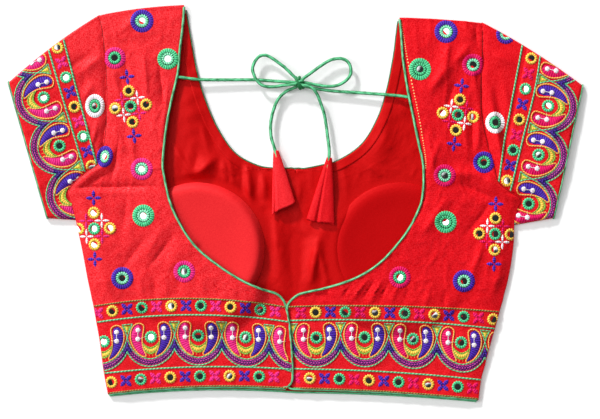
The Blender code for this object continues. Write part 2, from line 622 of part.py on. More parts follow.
def front_neck_edge(offset, first):
    """Points along the front neck, a distance in from its finished edge."""
    points = []
    for rows, side, order in ((LEFT_ROWS, -1, 1), (RIGHT_ROWS, 1, -1)):
        half = []
        for place in [first] + [place for place in FRONT_PLACES if first < place < 9.0]:
            row = row_at(rows, place)
            edge = Vector((row.front_x, row.front_y))
            half.append(edge + offset * inward(rows, side, place, "front_x", "front_y"))
        points += half[::order]
    return points


def make_front_neck():
    """The thin piping of the front neck and the facing turned in beside it."""
    edge = [Vector((point.x, point.y, 0.5 * CLOTH + 0.3))
            for point in front_neck_edge(0.5 * FRONT_PIPING, 0.15)]
    tube("front_neck_piping", edge, FRONT_PIPING, "cord")
    start = FRONT_PIPING + PIPING_GAP
    lines = []
    for offset in (start, start + 0.5 * FACING_WIDTH, start + FACING_WIDTH):
        line = []
        for point in front_neck_edge(offset, 0.5):
            height = front_height(point.x, point.y) + CLOTH + GAP + 0.1
            line.append(Vector((point.x, point.y, height)))
        lines.append(line)
    facing = new_object("front_neck_facing", sheet_mesh("facing", [lines]), "lining")
    thicken(facing, FACING_THICK)


def make_front_hem_piping():
    """The piping of the front hem, which shows below the shorter back."""
    points = []
    for rows, side, order in ((LEFT_ROWS, -1, 1), (RIGHT_ROWS, 1, -1)):
        half = [front_point(rows, side, float(LAST), max(across, 0.02)) for across in FRONT_ACROSS]
        points += half[:-1][::order] if points else half
    lowered = [point + Vector((0.0, -0.5 * NECK_PIPING - GAP, 0.5 * NECK_PIPING + 0.1))
               for point in points]
    tube("front_hem_piping", lowered, NECK_PIPING, "cord")


def make_knot():
    """The lump of the bow knot that the six stretches of the dori meet."""
    mesh = bpy.data.meshes.new("dori_knot")
    build = bmesh.new()
    bmesh.ops.create_uvsphere(build, u_segments=14, v_segments=8, radius=0.5)
    bmesh.ops.scale(build, verts=build.verts, vec=Vector(KNOT_SIZE) * MM)
    build.to_mesh(mesh)
    build.free()
    mesh.shade_smooth()
    made = new_object("dori_knot", mesh, "cord")
    made.location = Vector(KNOT) * MM


def make_tassel(tassel):
    """A flattened cloth cone with a pleat; the cord goes in at its closed top."""
    top = Vector((tassel.x, tassel.y))
    hem = Vector((tassel.hem_x, tassel.hem_y))
    axis = (hem - top).normalized()
    across = Vector((-axis.y, axis.x))
    loops = []
    for index in range(TASSEL_RINGS + 1):
        part = index / TASSEL_RINGS
        half_width = TASSEL_TOP[0] + (0.5 * tassel.hem_width - TASSEL_TOP[0]) * part
        half_height = TASSEL_TOP[1] + (TASSEL_HEM_HALF_HEIGHT - TASSEL_TOP[1]) * part
        centre = top.lerp(hem, part)
        loop = []
        for k in range(TASSEL_SIDES):
            turn = 2.0 * math.pi * k / TASSEL_SIDES
            sideways = math.cos(turn)
            dent = 0.42 * part * math.exp(-((sideways - tassel.pleat) / 0.22) ** 2)
            rise = math.sin(turn) * (1.0 - (dent if math.sin(turn) > 0.0 else 0.0))
            place = centre + across * half_width * sideways + axis * tassel.slant * sideways * part
            loop.append(Vector((place.x, place.y, TASSEL_FLOOR + half_height * (1.0 + rise))))
        loops.append(loop)
    made = new_object(tassel.name, ring_mesh(tassel.name, loops, cap_first=True), "cloth")
    thicken(made, TASSEL_WALL, offset=-1.0)


# ---------------------------------------------------------------- everything

def main():
    for old in list(bpy.data.objects):
        bpy.data.objects.remove(old, do_unlink=True)
    garment = bpy.data.collections.new("choli_blouse")
    bpy.context.scene.collection.children.link(garment)

    make_front()
    make_back("left", LEFT_ROWS, -1)
    make_back("right", RIGHT_ROWS, 1)
    make_hem_border("left", LEFT_ROWS, -1)
    make_hem_border("right", RIGHT_ROWS, 1)
    make_placket()
    for cup in CUPS:
        make_cup(cup)
    make_sleeve("left", LEFT_SLEEVE)
    make_sleeve("right", RIGHT_SLEEVE)
    make_neck_piping("left", LEFT_ROWS, -1, LAST - 0.12)
    make_neck_piping("right", RIGHT_ROWS, 1, RIGHT_CORNER)
    make_hem_piping("left", LEFT_ROWS, -1, 0.01, 0.985)
    make_hem_piping("right", RIGHT_ROWS, 1, 0.01, 0.99)
    make_front_neck()
    make_front_hem_piping()
    for name, route in DORI_ROUTES.items():
        tube(name, resample(route, DORI_STEP), DORI, "cord")
    make_knot()
    for tassel in TASSELS:
        make_tassel(tassel)


main()
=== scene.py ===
"""The looks of the choli blouse that lies flat, back side up: silk, lining, cords and thread work.

Lengths are millimetres on the garment until a mesh is made. X runs across the blouse, Y from
the hem up to the shoulders and Z up from the surface it lies on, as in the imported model.
"""
import math
import random
from collections import namedtuple
from itertools import accumulate

import bmesh
import bpy
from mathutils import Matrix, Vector, noise
from mathutils.bvhtree import BVHTree


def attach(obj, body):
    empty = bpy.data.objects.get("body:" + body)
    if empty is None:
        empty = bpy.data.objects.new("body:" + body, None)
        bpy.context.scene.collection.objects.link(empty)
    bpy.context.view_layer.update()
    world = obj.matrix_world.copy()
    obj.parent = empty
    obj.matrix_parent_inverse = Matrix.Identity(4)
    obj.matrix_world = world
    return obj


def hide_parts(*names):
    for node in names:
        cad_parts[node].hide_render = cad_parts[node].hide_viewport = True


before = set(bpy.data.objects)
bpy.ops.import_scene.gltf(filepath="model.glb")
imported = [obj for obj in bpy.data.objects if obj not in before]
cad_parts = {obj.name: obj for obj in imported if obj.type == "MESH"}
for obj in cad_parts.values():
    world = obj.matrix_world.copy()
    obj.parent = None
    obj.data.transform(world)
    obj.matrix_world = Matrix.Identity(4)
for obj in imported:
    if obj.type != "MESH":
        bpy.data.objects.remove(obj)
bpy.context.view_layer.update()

MM = 0.001                   # metres in a millimetre

CLOTH = 1.2                  # shell and lining together
GAP = 0.3                    # between pieces that touch
SEAM = 0.7                   # between a panel and the sleeve set into it
PIPING_GAP = 0.6             # between a curved edge and the piping along it
NECK_PIPING = 2              # width of the green bias piping on the back neck and the hem
FRONT_PIPING = 1.6           # width of the finer piping on the front neck
CUFF_PIPING = 1.8            # width of the piping on the sleeve ends
EDGE_ROLL = 24               # how far from a side edge the back lifts off the front
HEM_DROP = 2                 # how much longer the front is than the back

FIRST_BORDER_ROW = 18        # row of the tables below where the hem border starts
RIGHT_CORNER = 17.8          # place where the right neck piping ends, beside the left edge
LEFT_CORNER_ROUND = 4.5      # how far the left half's lower corner is rounded off

# One row for each level of the laid-out body, from the shoulder down to the hem. "side" is the
# armhole and side seam, "neck" the back neck and centre back edge, "front" the front neck and
# the centre front. "bow" lifts the middle of a row towards the shoulders. The last three are
# how high the back lies above the surface at its side, its middle and its neck edge.
Row = namedtuple("Row", "side_x side_y neck_x neck_y front_x front_y bow side_z mid_z neck_z")
LEFT_ROWS = (
    Row(-199, 189, -111, 199.6, -109, 197, 2, 1.6, 1.7, 1.8),
    Row(-195.5, 178, -112.3, 179.5, -105.5, 175, 1, 3, 4, 4),
    Row(-193, 160, -115, 156.5, -101.5, 152, 0, 3.8, 4.5, 5),
    Row(-191, 138, -117.4, 131, -97, 130, 0, 4.2, 5, 5.5),
    Row(-190, 110, -123.8, 103, -89, 104, 0, 4.2, 5, 6.5),
    Row(-191, 78, -128.6, 77.4, -77, 77, 0, 4.2, 5, 7.5),
    Row(-194, 57, -131.3, 53, -60, 53, 0, 4.2, 5.5, 8),
    Row(-198, 42, -132, 39, -38.6, 41, 0, 4.2, 5.5, 8.6),
    Row(-212, 31.5, -130.8, 30, -20, 38, 0, 3.8, 5.5, 9),
    Row(-227, 16.5, -128, 16, 0, 37.2, 0, 3.4, 5.5, 9),
    Row(-225, 5, -125, 4, 0, 24, 0, 3.2, 5.5, 9.2),
    Row(-220, -15, -117.4, -14, 0, 6, 0, 2.4, 5.8, 9.5),
    Row(-215, -38, -102, -38, 0, -16, 0, 1.6, 6, 9.5),
    Row(-211.5, -56, -83.2, -55, 0, -38, 0, 1.6, 6, 9.5),
    Row(-208.5, -72, -58, -72, 0, -58, 1, 1.6, 6, 9.2),
    Row(-206.5, -82, -36, -82.3, 0, -74, 3, 1.6, 5.6, 7.6),
    Row(-205, -88.5, -20, -87.5, 0, -83, 5, 1.6, 5.2, 6.2),
    Row(-204, -94, -12.4, -94, 0, -91, 7, 1.6, 4.8, 5.2),
    Row(-202.5, -100.5, -9.3, -101, 0, -101, 8.5, 1.6, 4.4, 4.6),
    Row(-199.4, -117.7, -6.1, -117, 0, -117, 7.5, 1.6, 4, 4),
    Row(-196, -137, -4.2, -137, 0, -137, 6.5, 1.6, 3.8, 3.8),
    Row(-193.8, -155, -3, -152, 0, -153, 5.5, 1.6, 3.6, 3.6),
    Row(-192, -168, -2.5, -164, 0, -166, 4.5, 1.6, 3.4, 3.6),
    Row(-188, -190.5, -2.7, -185, 0, -187, 4.5, 1.6, 3.2, 3.4),
)
RIGHT_ROWS = (
    Row(188.5, 181.6, 102.5, 187.1, 101, 185.5, 1, 1.6, 1.7, 1.8),
    Row(188, 170, 104.3, 169, 99, 170, 0.5, 3, 4, 4),
    Row(187.5, 150, 105.8, 147.6, 96, 147, 0, 3.8, 4.5, 5),
    Row(186, 118, 110.4, 115.7, 89, 113, 0, 4.2, 5, 6),
    Row(187, 88, 115.8, 89, 80, 86.4, 0, 4.2, 5, 7),
    Row(193, 60, 121.3, 62, 65, 62, 0, 4.2, 5, 7.8),
    Row(199, 40, 125.7, 42, 42, 46, 0, 4.2, 5.5, 8.4),
    Row(203.5, 23, 126.3, 24, 22, 40.5, 0, 4.2, 5.5, 8.8),
    Row(215, 13, 125.6, 13, 8, 37.8, 0, 3.8, 5.5, 9),
    Row(225, 6, 124.5, 5, 0, 37.2, 0, 3.4, 5.5, 9),
    Row(221.5, -3, 121.5, -4, 0, 24, 0, 3.2, 5.5, 9.2),
    Row(218, -20, 113.5, -20.5, 0, 6, 0, 2.4, 5.8, 9.5),
    Row(217.5, -37, 101, -38, 0, -16, 0, 1.6, 6, 9.5),
    Row(215, -57.5, 82.6, -57.4, 0, -38, 0, 1.6, 6, 9.5),
    Row(212.5, -71, 60, -71.5, 0, -58, 0, 1.6, 6, 9),
    Row(210, -82, 31.6, -81.4, 0, -74, 0.5, 1.6, 5.6, 7.2),
    Row(208, -89, 12.4, -85.8, 0, -83, 1.5, 1.6, 5.2, 6),
    Row(206.5, -96, 0.2, -89.8, 0, -91, 2.5, 1.6, 4.8, 5),
    Row(203.5, -106, -9.7, -101, 0, -101, 3.5, 1.6, 4.4, 4.6),
    Row(198.6, -124, -7, -116, 0, -117, 4, 1.6, 4, 4),
    Row(193, -144, -5, -137, 0, -137, 4, 1.6, 3.8, 3.8),
    Row(188.4, -162, -4, -153, 0, -153, 4, 1.6, 3.6, 3.6),
    Row(185, -174.5, -3.7, -163.5, 0, -166, 2.5, 1.6, 3.4, 3.6),
    Row(182.4, -196, -3.7, -185, 0, -187, 2, 1.6, 3.2, 3.4),
)
LAST = len(LEFT_ROWS) - 1

# Soft folds in the lying cloth: a line, how wide it spreads and how far it rises or sinks.
Fold = namedtuple("Fold", "x0 y0 x1 y1 width height")


def folds(*table):
    return [Fold(*values) for values in table]


BACK_FOLDS = folds(
    (-146, 152, -139, 75, 8, 1.8), (-160, 168, -152, 130, 6, 1.2), (-222, 17, -172, 62, 9, 2.4),
    (-190, 17, -143, 17, 8, -1.2), (-124, -32, -152, -66, 8, -1.6), (-112, -40, -138, -74, 8, 1.4),
    (151, 160, 146, 126, 7, 1.5), (172, 158, 134, 116, 8, 1.3), (154, 64, 137, 33, 6, 1.2),
    (219, 8, 186, 26, 9, 2.2), (186, 26, 152, 34, 9, 1.4)
)
SLEEVE_FOLDS = folds(
    (-196, 146, -216, 128, 7, 1.4), (-200, 96, -206, 60, 7, 1), (193, 150, 216, 141, 7, 1.3),
    (194, 100, 206, 45, 6, 1.2)
)
FRONT_FOLDS = folds(
    (-20, -4, -14, -84, 8, 2.6), (22, -26, 14, -84, 8, 3.6), (-56, 30, -49, 6, 7, 2.2),
    (-34, 25, -30, 4, 6, 1.8), (-84, 46, -104, 26, 7, 1.8)
)

# Foam bra cups under the lining, seen hollow side up. A cup leans: its side towards the middle
# of the neck stands higher than the other.
CUP_RIM = 7.1                # height of its rim, before it leans
CUP_MIDDLE = 2.2             # and of its middle
CUP_OUTER = 67.6             # its radius
CUP_SLOPE = 25               # how far around a cup the back slopes down from its rim
CUP_BASE = CLOTH + GAP       # height of its underside
Cup = namedtuple("Cup", "name x y lean_in lean_up")
CUPS = (Cup("cup_left", -99, -45, 0.40, 0.16), Cup("cup_right", 104, -45, -0.44, 0.12))

# The sleeves: the sleeve end, the bow of the top fold and the width of the border at the end.
Sleeve = namedtuple("Sleeve", "rows side end_top_x end_top_y end_low_x end_low_y bow border")
LEFT_SLEEVE = Sleeve(LEFT_ROWS, -1, -289, 122, -250.5, -13, 3.2, 66)
RIGHT_SLEEVE = Sleeve(RIGHT_ROWS, 1, 288.3, 119, 259.6, -12.8, 2.8, 63)
SLEEVE_SEAM_ROWS = 11        # rows of the body that the sleeve runs along
SLEEVE_FOLD_Z = 3.3          # height of the sleeve next to its folded edges
SLEEVE_END_Z = 4.6           # height in the middle of its open end
UNDERARM_STEP = 1.4          # how far the sleeve lies below the body's underarm fold
UNDERARM_ROWS = (7, 9)       # rows over which that step comes in

# The dori, a soft bias cord that ties the back neck. Every stretch is a list of points along it,
# with the ends that run on under the pipings, in the knot and inside the tassels.
DORI = 3                     # its thickness
KNOT = (3, 122, 5.3)         # centre of the bow knot
# The turns of the knot: the way each runs, its half width and half height, and how it swings.
KNOT_LOOPS = ((-0.95, 6.2, 3.3, 0.6), (0.45, 4.2, 3, -0.8), (-1.5, 5.6, 2.6, 1))
DORI_ROUTES = {
    "dori_run_left": (
        (-118.2, 128, 5.6), (-114.6, 127.6, 5.6), (-96, 125.4, 4.8), (-70, 125.2, 4.2),
        (-41, 125.2, 3.8), (-25, 124.2, 3.6), (-13, 123.4, 3.8), (-2.6, 122.6, 4.2),
        (0.6, 122.2, 4.6)),
    "dori_loop_left": (
        (2, 124.2, 6.2), (-0.6, 127, 6.6), (-10, 136.3, 6.8), (-18, 142.6, 6.6),
        (-25.4, 147.6, 6.2), (-31, 149.7, 6), (-36.4, 148.6, 6), (-41, 143.4, 6.2),
        (-43.4, 136.4, 6.8), (-42.2, 130.6, 7.3), (-38.9, 124.2, 7.5), (-33.8, 119.6, 7.2),
        (-27.6, 118.1, 6.8), (-20, 118.4, 6.6), (-12, 119.6, 6.8), (-2.4, 120.4, 7.4),
        (1.2, 121.2, 7)),
    "dori_tail_left": (
        (1.6, 119.4, 4.8), (-1.4, 117.4, 4.2), (-8.6, 114.4, 4), (-14.7, 109.5, 4),
        (-19.3, 103.4, 4.1), (-22.6, 94.5, 4.3), (-24.8, 85.5, 4.6), (-25.4, 76, 5),
        (-24.6, 67, 5.4), (-22.4, 60, 5.8), (-21, 55, 5.9), (-19.4, 47, 5.8),
        (-18.2, 38, 5.8)),
    "dori_loop_right": (
        (4.4, 123.6, 6.2), (7.4, 126.4, 6.6), (16.7, 133.2, 6.6), (25.1, 139.3, 6.4), (34.3, 144.7, 6.2),
        (42.7, 146.4, 6), (49, 145.2, 6), (53.4, 140.9, 6), (55, 134, 6),
        (53.2, 128, 6), (47.3, 122.3, 6), (39.7, 119.2, 5.9), (31, 118.6, 5.6),
        (22, 119.8, 5.2), (9, 122.4, 4.9), (5.2, 122.6, 5.2)),
    "dori_tail_right": (
        (4.4, 120.6, 7), (7.6, 119.4, 8), (12.6, 118.6, 8.6), (17.6, 115.6, 8.5), (21.6, 109.6, 7.4),
        (25.2, 100.4, 6.2), (28.2, 91, 5.6), (30.2, 80, 5.3), (31.6, 69, 5.4), (32.8, 60, 5.8),
        (33.3, 52.4, 5.9), (32.6, 44, 5.8), (31.2, 35, 5.8)),
    "dori_run_right": (
        (5.2, 120.6, 4.8), (8.8, 119, 4.2), (20.5, 116.3, 3.8), (32, 114.6, 3.8), (45, 113.4, 4),
        (64, 112.2, 4.4), (86, 110.6, 5), (100, 109.4, 5.6), (108.6, 108.4, 6),
        (113.2, 107.6, 6.2)),
}

# Cloth tassels on the ends of the dori: a flattened cone, open below, with a pleat down it.
# Each is a point at the cord, the middle of its hem, its width there, how far one end of the
# hem hangs lower than the other, and where the pleat is across it (-1 to 1).
Tassel = namedtuple("Tassel", "name x y hem_x hem_y hem_width slant pleat")
TASSELS = (
    Tassel("tassel_left", -20, 54.4, -12.4, -3.4, 26, -4.5, -0.72),
    Tassel("tassel_right", 33.5, 47.4, 24.5, -17.2, 30, 0.5, -0.28),
)
TASSEL_FLOOR = 2.9           # underside of the tassels, just above the front neck facing
TASSEL_TOP = (3.2, 2.6)      # half width and half height at the cord
TASSEL_HEM_HALF_HEIGHT = 3.6
TASSEL_CLOTH = 0.8           # its thickness
TASSEL_RINGS = 40
TASSEL_SIDES = 72
TASSEL_LENGTH = 66           # of the cloth, for its weave
TASSEL_LIFT = 1.2            # how much higher a tassel's right edge stands at its hem

PLACKET = (-19, 1, -97, -181)  # left, right, top and bottom of the hook placket


# ---- shapes

def smooth(value):
    """0 up to 0, 1 from 1 on, and a soft step in between."""
    value = min(max(value, 0), 1)
    return value * value * (3 - 2 * value)


def catmull_rom(table, place):
    """The values at a place along a table of equally long rows, on a smooth curve."""
    last = len(table) - 1
    index = min(int(place), last - 1)
    f = place - index
    a, b, c, d = (table[min(max(index + step, 0), last)] for step in (-1, 0, 1, 2))
    return [0.5 * (2 * q + (r - p) * f + (2 * p - 5 * q + 4 * r - s) * f * f
                   + (3 * q - p - 3 * r + s) * f ** 3) for p, q, r, s in zip(a, b, c, d)]


def row_at(rows, place):
    return Row(*catmull_rom(rows, place))


def even_marks(lengths, step):
    """Where even distances fall on a line: the stretch, the part of it and the distance."""
    count = max(2, round(lengths[-1] / step))
    index = 0
    for k in range(count + 1):
        wanted = lengths[-1] * k / count
        while index < len(lengths) - 2 and lengths[index + 1] < wanted:
            index += 1
        gap = max(lengths[index + 1] - lengths[index], 1e-6)
        yield index, (wanted - lengths[index]) / gap, wanted


CORD_PARTS = 12              # straight parts between two points of a cord's route, to measure it with
THREAD_PARTS = 10            # and between two points of a line of thread


def resample(points, step):
    """Points at even distances along the smooth curve through the given ones."""
    fine = [Vector(catmull_rom(points, k / CORD_PARTS)) for k in range(CORD_PARTS * (len(points) - 1) + 1)]
    lengths = list(accumulate(((b - a).length for a, b in zip(fine, fine[1:])), initial=0))
    return [fine[k].lerp(fine[k + 1], part) for k, part, _ in even_marks(lengths, step)]


def near_fold(fold, x, y):
    """How far along a fold a point is, from 0 to 1, and how many of its widths away."""
    run_x = fold.x1 - fold.x0
    run_y = fold.y1 - fold.y0
    along = ((x - fold.x0) * run_x + (y - fold.y0) * run_y) / (run_x * run_x + run_y * run_y)
    along = min(max(along, 0), 1)
    return along, math.hypot(x - fold.x0 - along * run_x, y - fold.y0 - along * run_y) / fold.width


def fold_height(table, x, y, crisp=False):
    """The sum of the folds near a point, each fading out to its ends; a crisp one has a sharp back."""
    total = 0
    for fold in table:
        along, away = near_fold(fold, x, y)
        if away < 3.5:
            fade = math.sin(math.pi * (0.12 + 0.76 * along))
            back = 0.4 - 1.5 * math.sqrt(away * away + 0.07) if crisp else -away * away
            total += fold.height * fade * math.exp(back)
    return total


def front_height(x, y):
    """The underside of the front above the surface; its folds flatten out under the cups."""
    clear = 1
    for cup in CUPS:
        radius = math.hypot(x - cup.x, y - cup.y)
        clear *= smooth((radius - CUP_OUTER - 5) / 8)
    return max(fold_height(FRONT_FOLDS, x, y) * clear, 0)


def cup_height(cup, x, y):
    """The top of a leaning cup above the surface, and of a soft slope around it."""
    dx = x - cup.x
    dy = y - cup.y
    radius = math.hypot(dx, dy)
    inside = min(1, CUP_OUTER / max(radius, 1)) / CUP_OUTER
    lean = 1 + (cup.lean_in * dx + cup.lean_up * dy) * inside
    rim = CUP_RIM * lean
    return CUP_BASE + rim * smooth((CUP_OUTER + CUP_SLOPE - radius) / (CUP_SLOPE - 2))


def back_height(row, across, x, y):
    """The underside of the back panels above the surface."""
    width = math.hypot(row.neck_x - row.side_x, row.neck_y - row.side_y)
    rise = smooth(0.5 + 0.5 * across * width / EDGE_ROLL) * 2 - 1
    body = row.side_z + (row.mid_z - row.side_z) * rise
    body += (row.neck_z - row.mid_z) * smooth((across - 0.35) / 0.6)
    body += fold_height(BACK_FOLDS, x, y) * smooth(across * width / 10)
    over_cup = max(cup_height(cup, x, y) for cup in CUPS) + 0.9
    over_cup = row.side_z + (over_cup - row.side_z) * smooth(across * width / 30)
    return max(body, over_cup)


def inward(rows, side, place, edge):
    """The direction across a column of the table, towards the cloth's side seam."""
    before = row_at(rows, max(place - 0.05, 0))
    after = row_at(rows, min(place + 0.05, LAST))
    down = Vector([getattr(after, edge + axis) - getattr(before, edge + axis) for axis in ("_x", "_y")])
    down.normalize()
    return side * Vector((-down.y, down.x))


def edge_point(rows, side, place, edge, distance):
    """A point that far in from an edge of the cloth: its side, neck or front."""
    row = row_at(rows, place)
    here = Vector((getattr(row, edge + "_x"), getattr(row, edge + "_y")))
    return here + distance * inward(rows, side, place, edge)


def back_point(rows, side, place, across, piping=NECK_PIPING + PIPING_GAP):
    """A point on the underside of a back panel, 0 across at its side and 1 at its neck edge."""
    row = row_at(rows, place)
    inset = piping * inward(rows, side, place, "neck")
    neck = Vector((row.neck_x, row.neck_y)) + inset
    if side > 0:
        neck -= inset * smooth((place - RIGHT_CORNER) / (FIRST_BORDER_ROW - RIGHT_CORNER))
    else:
        neck.x -= LEFT_CORNER_ROUND * smooth((place - LAST + 0.5) / 0.5)
    point = Vector((row.side_x, row.side_y)).lerp(neck, across)
    point.y += row.bow * 4 * across * (1 - across)
    point.y += piping * smooth(place - (LAST - 1))
    return Vector((point.x, point.y, back_height(row, across, point.x, point.y)))


def front_point(rows, side, place, across):
    """A point on the underside of the front, 0 across at its side and 1 at neck or centre."""
    row = row_at(rows, place)
    piping = FRONT_PIPING + PIPING_GAP
    inset = piping * inward(rows, side, place, "front")
    neck_end = 1 - smooth(place - 8)
    centre = Vector((row.front_x, row.front_y)) + inset * neck_end
    if place >= 9:
        centre.x = 0
    centre.y -= piping * (smooth(place - 8) - smooth((place - 9) / 3))
    point = Vector((row.side_x, row.side_y)).lerp(centre, across)
    point.y += row.bow * 4 * across * (1 - across)
    point.y += (NECK_PIPING + GAP - HEM_DROP) * smooth(place - (LAST - 1))
    return Vector((point.x, point.y, front_height(point.x, point.y)))


def sleeve_end(sleeve):
    """The top and the low corner of the sleeve's open end."""
    return Vector((sleeve.end_top_x, sleeve.end_top_y)), Vector((sleeve.end_low_x, sleeve.end_low_y))


def sleeve_plan(sleeve, across, along):
    """Where a sleeve point is seen from above: 0 along at the armhole and 1 at the open end."""
    place = across * SLEEVE_SEAM_ROWS
    seam = edge_point(sleeve.rows, sleeve.side, place, "side", SEAM)
    top, low = sleeve_end(sleeve)
    end = top.lerp(low, across)
    back = (seam - end).normalized()
    end += back * (CUFF_PIPING + PIPING_GAP)
    point = seam.lerp(end, along)
    point.y += sleeve.bow * 4 * along * (1 - along) * max(1 - 3 * across, 0)
    return point


def border_start(sleeve, across):
    """How far along the sleeve its border begins."""
    top, low = sleeve_end(sleeve)
    edge = (low - top).normalized()
    seam = sleeve_plan(sleeve, across, 0) - top
    end = sleeve_plan(sleeve, across, 1) - top
    seam_distance = abs(seam.x * edge.y - seam.y * edge.x)
    end_distance = abs(end.x * edge.y - end.y * edge.x)
    return max((seam_distance - sleeve.border) / (seam_distance - end_distance), 0.08)


def sleeve_height(sleeve, across, along, x, y):
    """The top of the sleeve above the surface, level with the back panel along the seam."""
    place = across * SLEEVE_SEAM_ROWS
    row = row_at(sleeve.rows, place)
    first, full = UNDERARM_ROWS
    step = UNDERARM_STEP * smooth((place - first) / (full - first))
    at_seam = max(row.side_z + CLOTH - step, SLEEVE_FOLD_Z)
    arch = math.sin(math.pi * across) ** 0.6 if 0 < across < 1 else 0
    at_end = SLEEVE_FOLD_Z + (SLEEVE_END_Z - SLEEVE_FOLD_Z) * arch
    height = at_seam + (at_end - at_seam) * along
    return height + fold_height(SLEEVE_FOLDS, x, y) * arch


def moved_out(grid, distance):
    """A grid's points moved out along the normals of the surface they span, which look up."""
    result = []
    for r, line in enumerate(grid):
        above = grid[max(r - 1, 0)]
        below = grid[min(r + 1, len(grid) - 1)]
        moved = []
        for k, point in enumerate(line):
            along = line[min(k + 1, len(line) - 1)] - line[max(k - 1, 0)]
            normal = along.cross(above[k] - below[k]).normalized()
            if normal.z < 0:
                normal = -normal
            moved.append(point + distance * normal)
        result.append(moved)
    return result


# ---- the finer shape of the cloth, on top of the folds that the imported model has

BACK_CREASING = 1.9          # how strongly the creases below are pressed into back and sleeves
CREASING = 1.35              # and into the front
SNUG = 1.3                   # the cloth's edge lies this far in from its finished edge, under the piping
BACK_CREASES = folds(
    # left: from the shoulder down
    (-152, 150, -148, 96, 3.5, 1.3), (-137, 140, -131, 92, 3, -1), (-128, 120, -134, 66, 3, 0.9),
    (-171, 150, -168, 124, 4, -1), (-160, 188, -176, 172, 4, 0.8), (-183, 132, -174, 100, 3.5, 0.9),
    (-176, 128, -170, 112, 3, -0.8), (-183, 76, -172, 56, 4, 1.2), (-176, 66, -184, 28, 5, -1.6),
    (-166, 78, -160, 34, 4, 0.9), (-196, 42, -224, 20, 5, 1.3), (-188, 32, -216, 16, 6, -1.3),
    (-226, 17.5, -143, 18.5, 3.2, -1.3), (-222, 12.5, -150, 13, 2.8, 0.7),
    (-214, 6, -206, -46, 6, 0.7), (-168, 6, -172, -18, 4, -0.7), (-150, -34, -176, -66, 5, -1),
    (-134, -24, -150, -52, 3.4, 0.9), (-124, -33, -148, -64, 2.4, -1.1), (-196, -66, -182, -92, 4, 1),
    (-210, -52, -198, -74, 3.5, -0.8), (-156, -70, -153, -94, 2.6, 0.9),
    (-143, -74, -140, -95, 2.6, -0.9), (-130, -72, -129, -93, 2.4, 0.9),
    (-118, -72, -117, -90, 2.4, -0.9), (-96, -74, -92, -90, 2.4, 0.9), (-80, -76, -76, -91, 2.2, -0.8),
    (-66, -78, -60, -92, 2.4, 0.9), (-50, -82, -44, -93, 2.2, -0.7),
    # right: from the shoulder down
    (172, 158, 160, 144, 3.5, 1.3), (147, 133, 135, 117, 3.5, 1.3), (153, 162, 148, 130, 3.5, 1),
    (166, 186, 176, 168, 4, 0.9), (160, 124, 150, 96, 4, -1), (180, 178, 181, 160, 3, -1),
    (176, 140, 182, 108, 4, 1.1), (184, 104, 182, 60, 3.5, 1.5), (176, 96, 177, 56, 3.5, -1.3),
    (168, 84, 170, 56, 3.5, 0.8), (132, 70, 138, 30, 4, 1), (144, 64, 134, 40, 3.4, 1.1),
    (156, 32, 182, 31, 4, 1.1), (180, 31, 216, 12, 4, 1.2), (170, 46, 214, 26, 7, -1.8),
    (160, 22, 206, 4, 6, -1), (150, 6, 128, -26, 5, 1.1), (196, 2, 170, -28, 5, -1.1),
    (186, -40, 172, -80, 5, 1), (206, -56, 196, -90, 4, 0.9), (86, -74, 72, -100, 1.8, 0.8),
    (79, -74, 64, -98, 1.6, -0.6), (93, -76, 82, -100, 1.8, -0.5), (101, -82, 93, -101, 1.8, 0.6),
    (112, -84, 106, -101, 2, -0.4), (68, -78, 54, -97, 1.6, 0.7), (54, -80, 45, -96, 1.6, -0.5),
    (134, -82, 128, -102, 3, 0.9), (150, -84, 147, -103, 2.6, -0.8)
)
SLEEVE_CREASES = folds(
    (-196, 148, -216, 132, 4, 1.3), (-206, 150, -226, 138, 4, -1.2), (-214, 140, -210, 118, 5, -1.2),
    (-203, 122, -214, 104, 4, 1.1), (-198, 84, -205, 58, 3, 1.2), (-204, 80, -210, 54, 3, -1),
    (-262, 128, -236, 50, 9, 0.9), (-280, 104, -274, 92, 3, 0.8), (-270, 66, -262, 52, 3, 0.8),
    (-259, 20, -252, 6, 3, 0.8), (198, 152, 216, 141, 4, 1.3), (200, 166, 214, 156, 3.5, -1),
    (194, 112, 208, 32, 3.4, 1.7), (199, 116, 212, 50, 3.4, -1.2), (206, 124, 216, 84, 4, 0.8),
    (266, 106, 246, 30, 9, 0.9), (278, 90, 272, 76, 3, 0.8), (268, 44, 262, 30, 3, 0.8)
)
FRONT_SWELLS = folds(
    (-110, 122, -104, 56, 13, 2.6), (-112, 44, -78, 36, 20, 3.6), (-72, 48, -66, 26, 7, 1.2),
    (93, 100, 80, 40, 11, 3.2)
)
